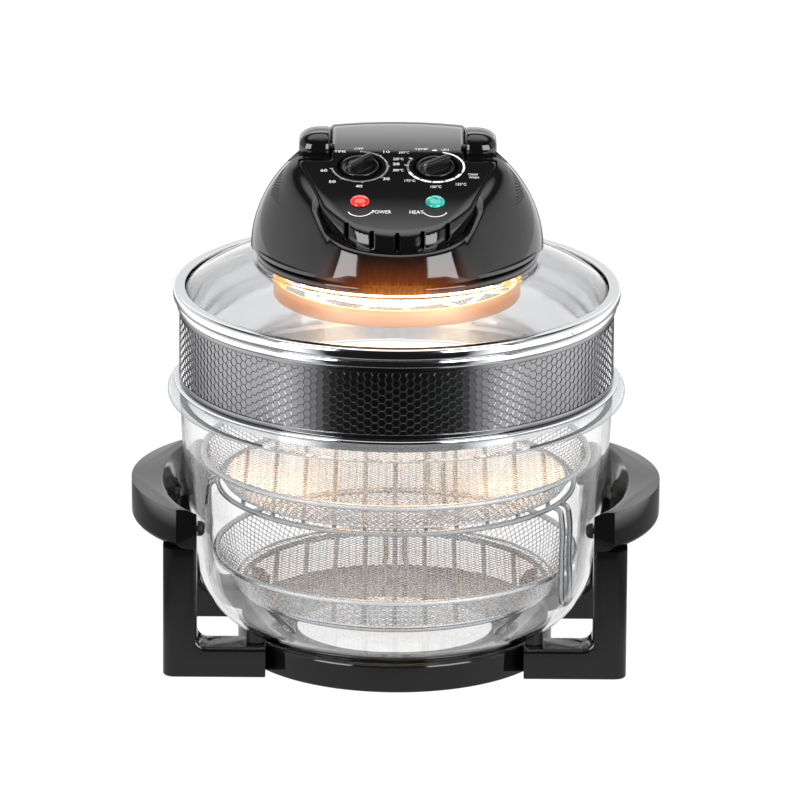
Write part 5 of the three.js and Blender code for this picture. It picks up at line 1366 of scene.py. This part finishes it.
behind = shades([(-90, 1.2), (0, 1.2), (10, 1.0), (25, 0.9), (33, 0.7), (41, 0.05), (52, 0.08), (57, 1.6),
                 (62, 2.6), (90, 2.6)])
front = shades([(-90, 0.01), (50, 0.015), (62, 0.5), (72, 1.6), (90, 2.6)])
flat = add(tree, "ShaderNodeCombineXYZ", _0=split.outputs[0], _1=split.outputs[1])
heading = add(tree, "ShaderNodeVectorMath", {"operation": "NORMALIZE"}, _0=flat.outputs[0])
ahead = add(tree, "ShaderNodeSeparateXYZ", Vector=heading.outputs[0])
facing = add(tree, "ShaderNodeMapRange", {"From Min": -0.5, "From Max": -0.3}, Value=ahead.outputs[1])
straight = add(tree, "ShaderNodeMath", {"operation": "ABSOLUTE"}, _0=ahead.outputs[0])
narrow = add(tree, "ShaderNodeMapRange", {"From Min": 0.3, "From Max": 0.5, "To Min": 1, "To Max": 0},
             Value=straight.outputs[0])
sheet = shades([(-90, 0), (18, 0), (24, 0.5), (36, 0.5), (42, 0)])
lit = add(tree, "ShaderNodeMix", {"data_type": "RGBA", "blend_type": "ADD"}, _0=narrow.outputs[0],
          _6=behind.outputs[0], _7=sheet.outputs[0])
half_room = add(tree, "ShaderNodeMix", {"data_type": "RGBA"}, _0=facing.outputs[0], _6=front.outputs[0],
                _7=lit.outputs[2])
wing = add(tree, "ShaderNodeMapRange", {"From Min": 0.6, "From Max": 0.88}, Value=straight.outputs[0])
low = shades([(-90, 2.4), (-6, 2.4), (-3, 0), (90, 0)])
room = add(tree, "ShaderNodeMix", {"data_type": "RGBA", "blend_type": "LIGHTEN"}, _0=wing.outputs[0],
           _6=half_room.outputs[2], _7=low.outputs[0])
path = add(tree, "ShaderNodeLightPath")
through = add(tree, "ShaderNodeMath", {"operation": "GREATER_THAN", 1: 0.5},
              _0=path.outputs["Transmission Depth"])
shown = add(tree, "ShaderNodeMath", {"operation": "MAXIMUM"}, _0=path.outputs["Is Camera Ray"],
            _1=through.outputs[0])
seen = add(tree, "ShaderNodeMix", {"data_type": "RGBA", 7: (1, 1, 1, 1)}, _0=shown.outputs[0],
           _6=room.outputs[2])
tree.links.new(seen.outputs[2], backdrop.inputs["Color"])


def softbox(name, azimuth, wide, power):
    """A tall area light that stands to one side of the camera and faces the oven."""
    data = bpy.data.lights.new(name, "AREA")
    data.shape = "RECTANGLE"
    data.size, data.size_y, data.energy = wide, BOX_HIGH, power
    made = bpy.data.objects.new(name, data)
    angle = radians(azimuth)
    made.location = (BOX_AWAY * sin(angle), -BOX_AWAY * cos(angle), BOX_MIDDLE)
    look = Vector((-made.location.x, -made.location.y, 0))
    made.rotation_euler = look.to_track_quat("-Z", "Y").to_euler()
    scene.collection.objects.link(made)
    made.visible_camera = False
    made.visible_transmission = False


softbox("left softbox", -45, 1.28, 63)
softbox("right softbox", 39.5, 1.5, 74)


def lit_sheet(name, power, full, gone, form):
    """A sheet of light that only reflections show, from the front; it fades out between two heights."""
    material, tree, shader = finish(name)
    tree.nodes.remove(shader)
    place = add(tree, "ShaderNodeTexCoord")
    spot = add(tree, "ShaderNodeSeparateXYZ", Vector=place.outputs["Object"])
    face = add(tree, "ShaderNodeNewGeometry")
    fade = add(tree, "ShaderNodeMapRange", {"From Min": full, "From Max": gone, "To Min": power, "To Max": 0},
               Value=spot.outputs[2])
    strength = add(tree, "ShaderNodeMath", {"operation": "MULTIPLY"}, _0=fade.outputs[0],
                   _1=face.outputs["Backfacing"])
    glow = add(tree, "ShaderNodeEmission", Strength=strength.outputs[0])
    clear = add(tree, "ShaderNodeBsdfTransparent")
    mixed = add(tree, "ShaderNodeAddShader", _0=glow.outputs[0], _1=clear.outputs[0])
    tree.links.new(mixed.outputs[0], tree.nodes["Material Output"].inputs["Surface"])
    mesh = bpy.data.meshes.new(name)
    form.to_mesh(mesh)
    form.free()
    made = bpy.data.objects.new(name, mesh)
    scene.collection.objects.link(made)
    made.data.materials.append(material)
    for kind in ("camera", "diffuse", "transmission", "volume_scatter", "shadow"):
        setattr(made, f"visible_{kind}", False)


# The top of the hump mirrors this card.
panel_light = bmesh.new()
panel_light.faces.new([panel_light.verts.new(p) for p in (
    (-CARD_HALF, CARD_Y, CARD_LOW), (-CARD_HALF, CARD_Y, CARD_HIGH), (CARD_HALF, CARD_Y, CARD_HIGH),
    (CARD_HALF, CARD_Y, CARD_LOW))])
lit_sheet("light card", 2.6, CARD_FULL, CARD_GONE, panel_light)
